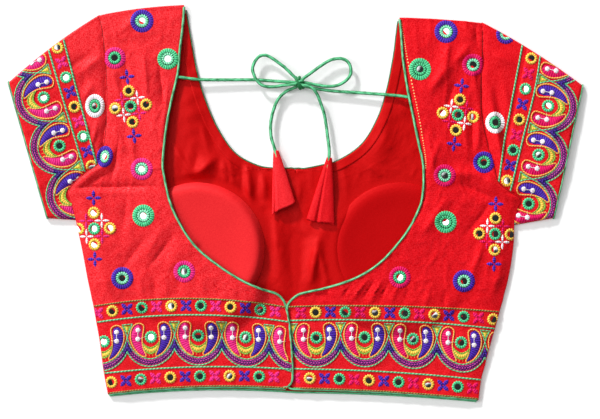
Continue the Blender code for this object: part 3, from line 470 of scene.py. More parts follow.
FRONT_CREASES = folds(
    # beside the left neck piping, and the V above the left cup
    (-122, 58, -104, 30, 4, 1.5), (-80, 48, -101, 28, 3.5, 1.2), (-98, 54, -102, 34, 4, -1.3),
    (-95, 80, -88, 56, 4, 1.3), (-88, 84, -80, 60, 3.5, -1.4), (-118, 100, -96, 112, 3, 0.7),
    (-112, 88, -94, 92, 3, 0.6),
    # the gathers to the left of the tassels
    (-73, 44, -70, 24, 2.4, 1.3), (-66, 46, -63, 20, 2.8, 1.4), (-55, 40, -53, 4, 2.8, -1.4),
    (-49, 38, -45, 2, 2.6, 2.8), (-40, 34, -38, 8, 2.6, -1.2), (-34, 32, -31, 10, 2.4, 1.7),
    (-10, 24, -8, 6, 3, 1), (4, 24, 3, 4, 3, 0.9),
    # between the cups
    (-21, -8, -19, -50, 3.4, 0.9), (0, -22, 14, -30, 4, 1.2), (7, -17, 16, -27, 2.4, 1.3),
    (22, -36, 15, -76, 2.6, 2.2), (24, -48, 31, -78, 2.4, 1.7), (25, -25, 34, -33, 2.2, 1),
    (-2, -30, 2, -84, 6, -1.2),
    # the right side
    (34, 30, 30, -4, 4, 1.3), (46, 40, 52, 16, 5, 1.2), (100, 104, 112, 88, 3.6, 1.2),
    (84, 70, 104, 46, 4, 0.9), (106, 22, 122, 9, 2.5, 1.3), (62, 46, 84, 30, 4, 0.9)
)


def unevenness(x, y, layer):
    """How lying cloth is never quite flat: broad and fine swells of about a third of a millimetre."""
    broad = noise.noise(Vector((x / 27, y / 31, layer)))
    crease = 1 - 2 * abs(noise.noise(Vector((x / 15, y / 19, layer + 2))))
    small = 1 - 2 * abs(noise.noise(Vector((x / 9, y / 12, layer + 8))))
    fine = noise.noise(Vector((x / 6, y / 8, layer + 5)))
    return 0.45 * broad + 0.55 * crease ** 3 + 0.3 * small ** 5 + 0.2 * fine


CLOSURE_DIP = 2.8            # how far the right half sinks beside the left one, and over what width
CLOSURE_REACH = 7
NECK_DIPS = {-1: (0.5, 1.6), 1: (1.7, 3.4)}  # how deep and how wide, on the left and on the right


def neck_dip(side, place, distance):
    """The groove that the cloth has along the back neck's piping."""
    depth, reach = NECK_DIPS[side]
    dip = depth * smooth((11 - place) / 1.5) * math.exp(-(distance / reach) ** 2)
    if side > 0:
        dip += CLOSURE_DIP * smooth((place - RIGHT_CORNER) / 0.8) * math.exp(-(distance / CLOSURE_REACH) ** 2)
    return -dip


def neck_puckers(place, across, width):
    """Small puckers where the piping is sewn on the back neck."""
    distance = (1 - across) * width
    ripple = math.sin(place * 9) * math.sin(place * 4.3 + 1)
    return 0.35 * ripple * math.exp(-(distance / 7) ** 2)


def places_apart(rows, last, step):
    """Places down a table of rows, about a step apart on the cloth."""
    places = []
    for row in range(last):
        start = rows[row]
        end = rows[row + 1]
        side = math.hypot(start.side_x - end.side_x, start.side_y - end.side_y)
        neck = math.hypot(start.neck_x - end.neck_x, start.neck_y - end.neck_y)
        count = max(2, round(max(side, neck) / step))
        places += [row + k / count for k in range(count)]
    return places + [last]


def places_across(count, edge):
    """Even places from 0 to 1, and one more near each end for a crisp edge."""
    inner = [k / count for k in range(1, count)]
    return [0, edge] + inner + [1 - edge, 1]


SEAM_PUCKERS = 0.55          # height of the puckers along the armhole seam
UNDERARM_PLACE = 9.6         # place on the side of the tables where the armhole seam ends


def seam_ease(distance, place, seed):
    """How the cloth dips into the armhole seam and puckers beside it."""
    ripple = noise.noise(Vector((place * 2.6, distance / 14, seed)))
    fade = 1 - smooth((place - UNDERARM_PLACE + 0.8) / 0.8)
    dip = 1.3 * math.exp(-(distance / 1.7) ** 2)
    return fade * (1.5 * SEAM_PUCKERS * ripple * math.exp(-(distance / 11) ** 2) - dip)


PANEL_STEP = 2.3             # between the points of a fine back panel, down it
PANEL_FINE_COLUMNS = 84
PANEL_EDGE = 0.004           # part of its width between its edge and the next column


def fine_back(rows, side):
    """The underside of a back panel with all its creases, and the places its lines are at."""
    places = places_apart(rows, LAST, PANEL_STEP)
    grid = []
    for place in places:
        row = row_at(rows, place)
        width = math.hypot(row.neck_x - row.side_x, row.neck_y - row.side_y)
        line = []
        for across in places_across(PANEL_FINE_COLUMNS, PANEL_EDGE):
            point = back_point(rows, side, place, across, SNUG)
            loose = smooth((across * width + 2) / 12)
            point.z += BACK_CREASING * loose * fold_height(BACK_CREASES, point.x, point.y, True)
            point.z += loose * (unevenness(point.x, point.y, 3) + neck_puckers(place, across, width))
            point.z += seam_ease(across * width, place, side) + neck_dip(side, place, (1 - across) * width)
            line.append(point)
        grid.append(line)
    return places, grid


# ---- finishes

def rgb(red, green, blue):
    """A colour from its values on a screen, 0 to 255."""
    return tuple((part / 255) ** 2.2 for part in (red, green, blue)) + (1,)


def finish(name, colour, roughness, **values):
    """A material with one colour; other values are inputs of its shader, named with underscores."""
    made = bpy.data.materials.new(name)
    made.use_nodes = True
    shader = made.node_tree.nodes["Principled BSDF"]
    shader.inputs["Base Color"].default_value = colour
    shader.inputs["Roughness"].default_value = roughness
    for key, value in values.items():
        shader.inputs[key.replace("_", " ")].default_value = value
    return made


class Nodes:
    """The nodes of a finish or of the world, with short names for what they work out."""

    def __init__(self, owner):
        self.tree = owner.node_tree

    def node(self, kind, inputs, **settings):
        made = self.tree.nodes.new("ShaderNode" + kind)
        for key, value in settings.items():
            setattr(made, key, value)
        for key, value in inputs.items():
            if isinstance(value, bpy.types.NodeSocket):
                self.tree.links.new(value, made.inputs[key])
            else:
                made.inputs[key].default_value = value
        return made

    def calculate(self, operation, *values):
        return self.node("Math", dict(enumerate(values)), operation=operation).outputs[0]

    def plus(self, first, second):
        return self.calculate("ADD", first, second)

    def times(self, first, second):
        return self.calculate("MULTIPLY", first, second)

    def scaled(self, value, factor, more):
        return self.calculate("MULTIPLY_ADD", value, factor, more)

    def coordinates(self, kind):
        return self.node("TexCoord", {}).outputs[kind]

    def parts(self, vector):
        """The three numbers of a vector. On cords and threads, UV runs along them and then across."""
        return self.node("SeparateXYZ", {0: vector}).outputs

    def grain(self, scale, detail=2, slant=0):
        """Cloud noise over the cloth's own millimetres, stretched to so many per millimetre each way."""
        placed = self.node("Mapping", {"Vector": self.coordinates("UV"), "Rotation": (0, 0, slant),
                                       "Scale": (*scale, 1)}).outputs[0]
        return self.node("TexNoise", {"Vector": placed, "Scale": 1, "Detail": detail}).outputs[0]

    def sharpen(self, value, low, high):
        """A value spread out so that low becomes 0 and high becomes 1."""
        return self.node("MapRange", {"Value": value, "From Min": low, "From Max": high}).outputs[0]

    def blend(self, factor, first, second):
        return self.node("Mix", {0: factor, 6: first, 7: second}, data_type="RGBA").outputs[2]

    def join(self, key, socket):
        """Joins a value to an input of the shader."""
        self.tree.links.new(socket, self.tree.nodes["Principled BSDF"].inputs[key])

    def paint(self, colour, height, depth):
        """Joins a colour, and a relief so many millimetres deep, to the shader."""
        self.join("Base Color", colour)
        relief = self.node("Bump", {"Height": height, "Distance": depth * MM, "Strength": 1})
        self.join("Normal", relief.outputs[0])


def silk(name, bright, deep, depth=0.2, roughness=0.5, lustre=0.5, broken=1, pale=1, gloss=1.5):
    """Hand-woven silk: slubs along the weft, a finer warp, and a lustre on the threads."""
    made = finish(name, bright, roughness, Sheen_Weight=0.08, Sheen_Roughness=0.4, IOR=gloss,
                  Sheen_Tint=(1, 0.3, 0.26, 1), Specular_Tint=(1, pale, pale, 1), Specular_IOR_Level=lustre)
    weave = Nodes(made)
    weft = weave.times(weave.grain((0.3, 1.3)), 0.3)
    warp = weave.times(weave.grain((1.3, 0.34)), 0.26)
    threads = weave.scaled(weave.grain((1.1, 1.2)), 0.44, weave.plus(weft, warp))
    spread = weave.sharpen(threads, 0.42, 0.58)
    cloudy = weave.times(weave.grain((0.045, 0.05)), 0.3)
    mixed = weave.plus(weave.times(spread, 0.8), cloudy)
    weave.paint(weave.blend(mixed, deep, bright), threads, depth)
    weave.join("Specular IOR Level", weave.scaled(spread, 2 * lustre * broken, lustre * (1 - broken)))
    return made


def satin_stitch(name, bright, deep):
    """Rows of lustrous thread side by side, across the way that the shape runs, with painted shade in the
    gaps between the stitch groups and random blotches of tone.
    """
    made = finish(name, bright, 0.5, Specular_IOR_Level=0.2)
    weave = Nodes(made)
    wander = weave.times(weave.grain((0.4, 0.3), 1), 2)
    phase = weave.scaled(weave.parts(weave.coordinates("UV"))[0], 2 * math.pi / STITCH, wander)
    stripe = weave.scaled(weave.calculate("COSINE", phase), 0.5, 0.5)
    blotches = weave.sharpen(weave.grain((0.8, 0.7)), 0.3, 0.6)
    mixed = weave.scaled(blotches, 0.45, weave.times(stripe, 0.85))
    weave.paint(weave.blend(mixed, deep, bright), stripe, 0.3)
    return made


def twisted(name, bright, deep, pitch):
    """A cord of two strands twisted together, painted darker in the grooves between them as shade."""
    made = finish(name, bright, 0.45, Specular_IOR_Level=0.3)
    weave = Nodes(made)
    along, across, _ = weave.parts(weave.coordinates("UV"))
    slant = weave.scaled(across, 1.5 * math.pi, weave.times(along, 2 * math.pi / pitch))
    strand = weave.scaled(weave.calculate("SINE", slant), 0.5, 0.5)
    loose = weave.scaled(weave.grain((0.5, 1), 1), 0.5, -0.25)
    weave.paint(weave.blend(weave.plus(strand, loose), deep, bright), strand, 0.3)
    return made


def braided(name, bright, deep):
    """A plaited braid: chevrons that meet on its middle line, with the gaps between the strands painted dark
    as shade.
    """
    made = finish(name, bright, 0.5, Specular_IOR_Level=0.3)
    weave = Nodes(made)
    along, across, _ = weave.parts(weave.coordinates("UV"))
    chevron = weave.plus(along, weave.calculate("ABSOLUTE", across))
    plait = weave.calculate("SINE", weave.times(chevron, 2 * math.pi / PLAIT_PITCH))
    strands = weave.calculate("COSINE", weave.times(across, 2 * math.pi / PLAIT_STRAND))
    height = weave.scaled(weave.plus(plait, strands), 0.25, 0.5)
    loose = weave.scaled(weave.grain((0.7, 0.7)), 0.9, -0.45)
    mixed = weave.sharpen(weave.plus(height, loose), 0.42, 0.85)
    weave.paint(weave.blend(mixed, deep, bright), height, 0.4)
    return made


def bias_cloth(name, bright, deep, depth=0.2):
    """Green cloth cut on the bias and sewn round a cord: small slanting wrinkles, a painted highlight along
    the top of the tube and painted shade down its sides.
    """
    made = finish(name, bright, 0.45, Specular_IOR_Level=0.35)
    weave = Nodes(made)
    wrinkles = weave.grain((0.15, 0.8), 2, 0.2)
    height = weave.scaled(weave.grain((3, 1.6), 1), 0.25, wrinkles)
    around = weave.parts(weave.coordinates("UV"))[1]
    crest = weave.calculate("SINE", weave.times(around, 2 * math.pi / AROUND))
    painted_light = weave.scaled(weave.sharpen(crest, 0.35, 1), 0.9, 0.1)
    mixed = weave.times(weave.sharpen(wrinkles, 0.3, 0.6), painted_light)
    weave.paint(weave.blend(mixed, deep, bright), height, depth)
    return made


def looking_glass(name, colour, roughness):
    """A small round mirror, a little cloudy."""
    made = finish(name, colour, roughness, Metallic=1)
    weave = Nodes(made)
    cloudy = weave.sharpen(weave.grain((0.35, 0.35)), 0.3, 0.7)
    weave.join("Roughness", weave.scaled(cloudy, 0.08, roughness))
    return made


AROUND = 10                  # the second texture coordinate, once round a tube; its top is at a quarter
PLAIT_PITCH = 2.7            # millimetres from one chevron of a braid to the next
PLAIT_STRAND = 2.3           # and from one of its strands to the next
STITCH = 2.1                 # millimetres from one group of stitches to the next
# The right half's silk, on its back and sleeve, is a darker copy of the left one's: painted shade.
SILKS = {
    "left": silk("silk_red_left", rgb(250, 36, 48), rgb(212, 4, 20), 0.38, 0.58, 0.31),
    "right": silk("silk_red_right_shaded", rgb(242, 26, 40), rgb(198, 0, 14), 0.38, 0.6, 0.22, 1, 0.5),
}
BORDER_SILK = silk("silk_red_border", rgb(240, 24, 38), rgb(204, 2, 18), 0.22, 0.62, 0.2)
LINING = silk("lining_red", rgb(200, 0, 10), rgb(186, 0, 6), 0.03, 0.52, 0.4, 0.2, 0.12, 1.8)
# The two cups' linings are one cloth in two tones: the left cup's lighter as painted light, the right cup's
# darker as painted shade.
CUP_CLOTHS = {
    "cup_left": silk("cup_lining_left_lit_red", rgb(238, 38, 42), rgb(226, 24, 34), 0.03, 0.68, 0.26, 0.2),
    "cup_right": silk("cup_lining_right_shaded_red", rgb(192, 0, 14), rgb(180, 0, 10), 0.03, 0.62, 0.27, 0.2,
                      0.12, 1.8),
}
# The right tassel's silk is a darker copy of the left one's: painted shade.
TASSEL_CLOTHS = {
    "tassel_left": silk("tassel_left_red", rgb(246, 30, 40), rgb(222, 10, 26), 0.14, 0.6, 0.3, 0.5),
    "tassel_right": silk("tassel_right_shaded_red", rgb(226, 10, 28), rgb(200, 0, 16), 0.14, 0.62, 0.17, 0.5),
}
PIPING = bias_cloth("piping_green", rgb(134, 226, 168), rgb(16, 98, 50))
THIN_PIPING = bias_cloth("piping_front_green", rgb(78, 156, 104), rgb(30, 76, 46))
# the hem's piping is the neck piping's green with lighter painted shade on its sides: painted light where the
# hem lies low in shade
LIGHTENED_HEM_PIPING = bias_cloth("piping_hem_green_lightened", rgb(124, 224, 170), rgb(34, 140, 82))
DORI_CLOTH = bias_cloth("dori_green", rgb(112, 222, 160), rgb(8, 108, 56), 0.4)

# The embroidery threads: a painted highlight colour where the light falls on them, and painted shade in the
# gaps between the stitches.
SATINS = {
    "pink": ((250, 50, 146), (188, 2, 72)), "pink_shaded": ((246, 20, 110), (172, 0, 46)),
    "blue": ((88, 50, 190), (14, 2, 76)), "green": ((96, 228, 160), (6, 106, 58)),
    "mint": ((160, 250, 206), (36, 150, 98)), "yellow": ((255, 224, 96), (238, 150, 16)),
    "orange": ((255, 190, 80), (232, 106, 30)), "gold": ((250, 220, 150), (226, 180, 100)),
    "lime": ((190, 226, 90), (96, 160, 40)), "white": ((255, 255, 255), (236, 204, 226)),
    # a dark thread that stands for shade between a mirror's rings
    "painted_shade": ((20, 90, 60), (6, 30, 24)),
}
THREADS = {name: satin_stitch("thread_" + name, rgb(*painted_light), rgb(*gap)) for name, (painted_light, gap) in SATINS.items()}
THREADS.update({
    "purple": braided("braid_purple", rgb(216, 66, 180), rgb(40, 4, 66)),
    "violet": braided("braid_violet", rgb(90, 44, 176), rgb(26, 4, 76)),
    "green_cord": twisted("cord_green", rgb(128, 226, 172), rgb(52, 158, 100), 3.6),
    "lime_cord": twisted("cord_lime", rgb(178, 224, 96), rgb(90, 150, 40), 2.6),
    "orange_cord": twisted("cord_orange", rgb(255, 206, 110), rgb(250, 150, 60), 2.6),
    # the armhole seam's cord, whose dark red is painted shade of the seam's groove
    "seam": twisted("seam_shade_red", rgb(176, 6, 20), rgb(96, 0, 6), 2.4),
    "olive_cord": twisted("cord_olive", rgb(170, 158, 84), rgb(66, 70, 30), 2.8),
    "glass": looking_glass("mirror_glass", (0.9, 0.93, 0.94, 1), 0.02),
})


# ---- meshes

def make_mesh(name, verts, faces, uvs, finishes, slots=None):
    """An object from points in millimetres; uvs has one pair for each point."""
    mesh = bpy.data.meshes.new(name)
    mesh.from_pydata([(x * MM, y * MM, z * MM) for x, y, z in verts], [], faces)
    layer = mesh.uv_layers.new(name="cloth")
    for loop in mesh.loops:
        layer.data[loop.index].uv = uvs[loop.vertex_index]
    for made in finishes:
        mesh.materials.append(made)
    if slots:
        mesh.polygons.foreach_set("material_index", slots)
    mesh.shade_smooth()
    piece = bpy.data.objects.new(name, mesh)
    bpy.context.scene.collection.objects.link(piece)
    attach(piece, "root")
    return piece


def stand_for(node):
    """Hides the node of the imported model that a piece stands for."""
    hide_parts(node)


def thicken(piece, thickness, offset):
    """Gives a single layer its thickness, all on one side of it."""
    thick = piece.modifiers.new("cloth", "SOLIDIFY")
    thick.thickness = thickness * MM
    thick.offset = offset


def ring_faces(rings, sides, first=0, closed=False):
    """Faces between rings of points; a closed run of rings joins its last to its first."""
    faces = []
    for r in range(rings if closed else rings - 1):
        a = first + r * sides
        b = first + (r + 1) % rings * sides
        faces += [(a + s, a + (s + 1) % sides, b + (s + 1) % sides, b + s) for s in range(sides)]
    return faces


def quads(count_down, count_across, first=0):
    """Faces between the points of a grid."""
    faces = []
    for r in range(count_down - 1):
        for c in range(count_across - 1):
            a = first + r * count_across + c
            faces.append((a, a + count_across, a + count_across + 1, a + 1))
    return faces


def shell(node, kind, under, thickness, made, turn=0):
    """A panel of cloth with its rounded edges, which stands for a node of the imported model.

    The grid of its underside runs down and across, seen from above. The upper side comes back too.
    """
    top = moved_out(under, thickness)
    down = len(under)
    across = len(under[0])
    verts = [point for grid in (top, under) for line in grid for point in line]
    size = down * across
    upper = quads(down, across)
    first = [verts[k] for k in upper[0]]
    faces_up = (first[1] - first[0]).cross(first[2] - first[0]).z > 0
    lower = quads(down, across, size)
    ring = list(range(across))
    ring += [r * across + across - 1 for r in range(1, down)]
    ring += [(down - 1) * across + c for c in range(across - 2, -1, -1)]
    ring += [r * across for r in range(down - 2, 0, -1)]
    middle = []
    for k in ring:
        r, c = divmod(k, across)
        inner_r = min(max(r, 1), down - 2)
        inner_c = min(max(c, 1), across - 2)
        outward = verts[k] - verts[inner_r * across + inner_c]
        outward.z = 0
        outward.normalize()
        middle.append(len(verts))
        verts.append(0.5 * (verts[k] + verts[k + size]) + 0.35 * thickness * outward)
    rim = []
    for k in range(len(ring)):
        n = (k + 1) % len(ring)
        rim.append((ring[k], ring[n], middle[n], middle[k]))
        rim.append((middle[k], middle[n], ring[n] + size, ring[k] + size))
    if faces_up:
        faces = upper + [face[::-1] for face in lower] + rim
    else:
        faces = [face[::-1] for face in upper] + lower + [face[::-1] for face in rim]
    cos, sin = math.cos(turn), math.sin(turn)
    uvs = [(cos * v.x + sin * v.y, cos * v.y - sin * v.x) for v in verts]
    piece = make_mesh(node + "_" + kind, verts, faces, uvs, [made])
    stand_for(node)
    return piece, top


def tube(name, points, radius, made, sides=10, closed=False, swell=0, seed=0):
    """A round cord along points; its radius may swell a little here and there."""
    count = len(points)
    verts = []
    uvs = []
    length = 0
    side = None
    for k, point in enumerate(points):
        if closed:
            along = points[(k + 1) % count] - points[k - 1]
        else:
            along = points[min(k + 1, count - 1)] - points[max(k - 1, 0)]
        along.normalize()
        if side is None:
            side = along.cross(Vector((0, 0, 1) if abs(along.z) < 0.8 else (0.6, 0.8, 0)))
        side = (side - along * side.dot(along)).normalized()
        up = side.cross(along)
        if k:
            length += (point - points[k - 1]).length
        for s in range(sides):
            turn = 2 * math.pi * s / sides
            here = radius
            if swell:
                spot = Vector((length / 3.5, 1.6 * math.sin(turn), seed + math.cos(turn)))
                here *= 1 + swell * noise.noise(spot)
            verts.append(point + here * (math.cos(turn) * side + math.sin(turn) * up))
            uvs.append((length, AROUND * s / sides))
    faces = ring_faces(count, sides, closed=closed)
    if not closed:
        faces.append(tuple(range(sides))[::-1])
        faces.append(tuple(range((count - 1) * sides, count * sides)))
    piece = make_mesh(name, verts, faces, uvs, [made])
    recalculate(piece)
    return piece


def green_cord(node, points, radius, made, **more):
    """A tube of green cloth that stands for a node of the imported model."""
    cord = tube(node + "_green", points, radius, made, **more)
    stand_for(node)
    return cord


def recalculate(piece):
    """Turns all the faces of a closed piece outwards."""
    build = bmesh.new()
    build.from_mesh(piece.data)
    bmesh.ops.recalc_face_normals(build, faces=build.faces)
    build.to_mesh(piece.data)
    build.free()


# ---- thread work that lies on the cloth

class Ground:
    """The upper side of some cloth, to lay thread work on."""

    def __init__(self, grids):
        verts = []
        faces = []
        for grid in grids:
            faces += quads(len(grid), len(grid[0]), len(verts))
            verts += [point for line in grid for point in line]
        self.tree = BVHTree.FromPolygons(verts, faces)

    def level(self, x, y):
        """How high the cloth is there, or None beside it."""
        hit = self.tree.ray_cast(Vector((x, y, 60)), Vector((0, 0, -1)))[0]
        return None if hit is None else hit.z


def even_steps(points, step):
    """Even steps along a smooth line: x, y, the unit way across it, its length and its place."""
    fine = [catmull_rom(points, k / THREAD_PARTS) for k in range(THREAD_PARTS * (len(points) - 1) + 1)]
    lengths = list(accumulate(map(math.dist, fine, fine[1:]), initial=0))
    path = []
    for k, part, wanted in even_marks(lengths, step):
        (x, y), (next_x, next_y) = fine[k], fine[k + 1]
        path.append((x + part * (next_x - x), y + part * (next_y - y), wanted, (k + part) / THREAD_PARTS))
    for k, (x, y, length, place) in enumerate(path):
        ahead = path[min(k + 1, len(path) - 1)]
        behind = path[max(k - 1, 0)]
        run = math.dist(ahead[:2], behind[:2]) or 1
        yield x, y, (behind[1] - ahead[1]) / run, (ahead[0] - behind[0]) / run, length, place


class ThreadWork:
    """The embroidery on one piece of cloth, joined into one mesh."""

    def __init__(self, name, ground):
        self.name = name
        self.ground = ground
        # the right half draws its pink thread with a darker copy of it: painted shade
        self.instead = {"pink": "pink_shaded"} if name.endswith("right") else {}
        self.verts = []
        self.faces = []
        self.uvs = []
        self.slots = []
        self.finishes = []

    def slot_of(self, colour):
        if colour not in self.finishes:
            self.finishes.append(colour)
        return self.finishes.index(colour)

    def patch(self, lines, colour):
        """Faces over a grid of (x, y, height, u, v), without those that would be off the cloth."""
        slot = self.slot_of(colour)
        known = []
        for line in lines:
            row = []
            for x, y, height, u, v in line:
                level = self.ground.level(x, y)
                if level is None:
                    row.append(None)
                    continue
                row.append(len(self.verts))
                self.verts.append((x, y, level + height))
                self.uvs.append((u, v))
            known.append(row)
        for first, second in zip(known, known[1:]):
            for k in range(len(first) - 1):
                corners = (first[k], first[k + 1], second[k + 1], second[k])
                if None in corners:
                    continue
                a, b, c, d = (self.verts[corner] for corner in corners)
                area = (c[0] - a[0]) * (d[1] - b[1]) - (c[1] - a[1]) * (d[0] - b[0])
                self.faces.append(corners if area > 0 else corners[::-1])
                self.slots.append(slot)

    def cord(self, points, radius, colour, step=1.1, lift=0):
        """A cord sewn down along a smooth line through (x, y) points."""
        lines = []
        for x, y, nx, ny, length, _ in even_steps(points, step):
            line = []
            for s in range(CORD_SIDES + 1):
                turn = math.radians(CORD_FROM + CORD_ROUND * s / CORD_SIDES)
                out = radius * math.cos(turn)
                height = lift + radius * (0.35 + math.sin(turn))
                line.append((x + nx * out, y + ny * out, height, length, s / CORD_SIDES))
            lines.append(line)
        self.patch(lines, colour)

    def ribbon(self, points, widths, height, colour, step=0.9, flat=False):
        """Satin stitch or braid along a line; widths are its half widths at the points."""
        lines = []
        for x, y, nx, ny, length, place in even_steps(points, step):
            half = max(catmull_rom([(w,) for w in widths], place)[0], 0.02)
            line = []
            for v in RIBBON_COLUMNS:
                rise = (1 - abs(v) ** (6 if flat else 2.2)) * min(1, half / 1.2)
                line.append((x + nx * half * v, y + ny * half * v, height * rise - 0.05, length, half * v))
            lines.append(line)
        self.patch(lines, colour)

    def ring(self, x, y, inner, outer, height, colour, short=0.5, squash=(1, 1), turn=0, lift=-0.05):
        """Radial stitches round a mirror; the gaps between them end a little further in."""
        stitches = max(8, round(math.pi * (inner + outer) / STITCH))
        lines = []
        cos, sin = math.cos(turn), math.sin(turn)
        for k in range(2 * stitches + 1):
            angle = math.pi * k / stitches
            gap = k % 2
            line = []
            for part in RING_PARTS:
                radius = inner + (outer - short * gap - inner) * part
                rise = height * (1 - 0.35 * gap) * math.sin(math.pi * min(max(part, 0.02), 0.97)) ** 0.5
                px = squash[0] * radius * math.cos(angle)
                py = squash[1] * radius * math.sin(angle)
                line.append((x + cos * px - sin * py, y + sin * px + cos * py, lift + rise,
                             0.5 * STITCH * k, radius))
            lines.append(line)
        self.patch(lines, colour)

    def glass(self, x, y, radius, look, squash=(1, 1)):
        """A round mirror, tilted a little like every one sewn on by hand; a bright one more."""
        way = SOFT_WAY + DRAW.uniform(-0.9, 0.9)
        lean = DRAW.uniform(*GLASS_LEANS[look])
        tilt_x = (x - VIEW_CENTRE[0]) / GLASS_FACES + lean * math.cos(way)
        tilt_y = (y - VIEW_CENTRE[1]) / GLASS_FACES + lean * math.sin(way)
        level = self.ground.level(x, y)
        if level is None:
            return
        slot = self.slot_of("glass")
        first = len(self.verts)
        for k in range(GLASS_SIDES + 1):
            angle = 2 * math.pi * k / GLASS_SIDES
            for part in GLASS_PARTS:
                px = squash[0] * radius * part * math.cos(angle)
                py = squash[1] * radius * part * math.sin(angle)
                rise = GLASS_RISE + GLASS_DOME * (1 - part * part) + tilt_x * px + tilt_y * py
                self.verts.append((x + px, y + py, level + rise))
                self.uvs.append((x + px, y + py))
        for face in quads(GLASS_SIDES + 1, len(GLASS_PARTS), first):
            self.faces.append(face)
            self.slots.append(slot)

    def mirror(self, x, y, colour, size, inner_colour=None, glass=3.3, look="d", squash=(1, 1), turn=0):
        """A sewn mirror: one or two rings of thread round the glass; two are parted by a dark ring of painted
        shade.
        """
        outer = 0.5 * size
        if inner_colour:
            middle = glass + 0.38 * (outer - glass)
            self.ring(x, y, middle - 0.3, outer, 1.15, colour, 0.45, squash, turn)
            # a dark ring of painted shade where the two rings of stitches meet
            self.ring(x, y, middle - 1.2, middle + 0.9, 1, "painted_shade", 0.2, squash, turn)
            self.ring(x, y, glass - 0.2, middle + 0.7, 1.35, inner_colour, 0.8, squash, turn)
        else:
            self.ring(x, y, glass - 0.2, outer, 1.25, colour, 0.8, squash, turn)
        self.glass(x, y, glass, look, squash)

    def petal(self, start, end, half_width, colour, height=0.7):
        """One pointed stitch leaf."""
        middle = [(start[0] + (end[0] - start[0]) * part, start[1] + (end[1] - start[1]) * part)
                  for part in (0, 0.25, 0.5, 0.75, 1)]
        widths = [0.15 * half_width, 0.75 * half_width, half_width, 0.7 * half_width, 0.03]
        self.ribbon(middle, widths, height, colour, 0.8)

    def flower(self, x, y, reach, half_width, colour, turn):
        """Four pointed petals round a point."""
        for k in range(4):
            angle = turn + 0.5 * math.pi * k
            cos, sin = math.cos(angle), math.sin(angle)
            self.petal((x + 0.5 * cos, y + 0.5 * sin), (x + reach * cos, y + reach * sin), half_width, colour)

    def dot(self, x, y, radius, colour, lift=0):
        """A raised knot of thread."""
        lines = []
        for k in range(DOT_SIDES + 1):
            angle = 2 * math.pi * k / DOT_SIDES
            reach = radius * (1 + 0.06 * (k % 2))
            line = []
            for part in DOT_PARTS:
                rise = lift + 0.3 * radius * math.sqrt(max(1 - part * part, 0))
                line.append((x + reach * part * math.cos(angle), y + reach * part * math.sin(angle), rise,
                             0.5 * STITCH * k, part))
            lines.append(line)
        self.patch(lines, colour)

    def make(self):
        piece = make_mesh(self.name, self.verts, self.faces, self.uvs,
                          [THREADS[self.instead.get(colour, colour)] for colour in self.finishes], self.slots)
        return piece


CORD_SIDES = 6
CORD_FROM = -35              # degrees round a sewn cord where its surface starts
CORD_ROUND = 250             # and how far round it goes
RIBBON_COLUMNS = (-1, -0.86, -0.5, 0, 0.5, 0.86, 1)  # parts of its half width
RING_PARTS = (0, 0.12, 0.4, 0.7, 0.92, 1)  # parts of the way out
DOT_SIDES = 12
DOT_PARTS = (0, 0.5, 0.85, 1)
GLASS_SIDES = 20
GLASS_PARTS = (0, 0.5, 1)
GLASS_RISE = 0.25             # height of the glass above the cloth
GLASS_DOME = 0.05             # and how much higher its middle is
GLASS_FACES = 4000            # the mirrors look at a place above the middle, this far up and twice that
SOFT_WAY = math.radians(-40)  # away from the soft light; the bright mirrors rise that way
# How far mirrors lean that show the bright ceiling, its dark opening, or half of each.
GLASS_LEANS = {"b": (0.145, 0.175), "h": (0.1, 0.12), "d": (0, 0.07)}
DRAW = random.Random(11)

# The scalloped unit of the wide borders, about its mirror: x along the border towards the blue
# paisley, y towards the heads of the paisleys. Half of it; the other half is its reflection.
UNIT = 47.6                  # from one mirror to the next
PAISLEY = ((-11.6, 12.4), (-13.6, 8), (-14.7, 1), (-13.2, -7), (-9.6, -13.4), (-5.9, -18.4))
PAISLEY_WIDTHS = (2.2, 5, 5.2, 4.2, 2.9, 0.5)
PAISLEY_EDGE = ((-6, -19.6), (-4.9, -17.6), (-7.6, -11), (-8.7, -4), (-8.2, 2), (-7.4, 7),
                (-7.3, 11.5), (-10, 14), (-14.2, 14.2), (-18.4, 11.2), (-20.5, 4.5), (-19.8, -3),
                (-16.8, -10.2), (-12, -16.4), (-6.6, -19.6))
PAISLEY_DOTS = ((-12.9, 7.8), (-13.1, -1.2))
INNER_ARC = ((-28.8, 14.4), (-26, 8.5), (-23.7, 1.5), (-21.6, -5), (-17.4, -12.6), (-10, -19), (0, -21.8))
OUTER_ARC = ((-23.8, -12.4), (-21.2, -17.6), (-16.2, -23.2), (-8.8, -27.8), (0, -29.4))
BRAID = ((-23.9, -3.4), (-23.2, -8.4), (-20.4, -13.8), (-16.4, -18.3), (-9.4, -23.4), (0, -25.6))
BRAID_WIDTHS = (0.5, 1.9, 2.3, 2.4, 2.6, 2.7)
TRIANGLE_TOP = ((-29, 14.4), (-23.85, 14.4), (-18.7, 14.4))
TRIANGLE_MIDDLE = -23.85
CRESCENT = ((-7.2, -6.4), (-6.4, -9.6), (-3.6, -12.6), (0, -13.8))
CRESCENT_WIDTHS = (0.15, 1.4, 2, 2.2)
CRESCENT_RIM = ((-8.2, -5.2), (-7.6, -9.2), (-5.2, -13.4), (0, -16.6))
CRESCENT_TOP = ((-8.2, -5.2), (-5.4, -8.4), (0, -10.6))
FEET = (-5.4, -1.8, 1.8, 5.4)


def mirrored(half):
    """A line and its reflection, as one."""
    return list(half) + [(-x, y) for x, y in reversed(half[:-1])]


def both_ways(widths, factor=1, more=0):
    """The widths of half a line and back again."""
    return [factor * width + more for width in (*widths, *widths[-2::-1])]


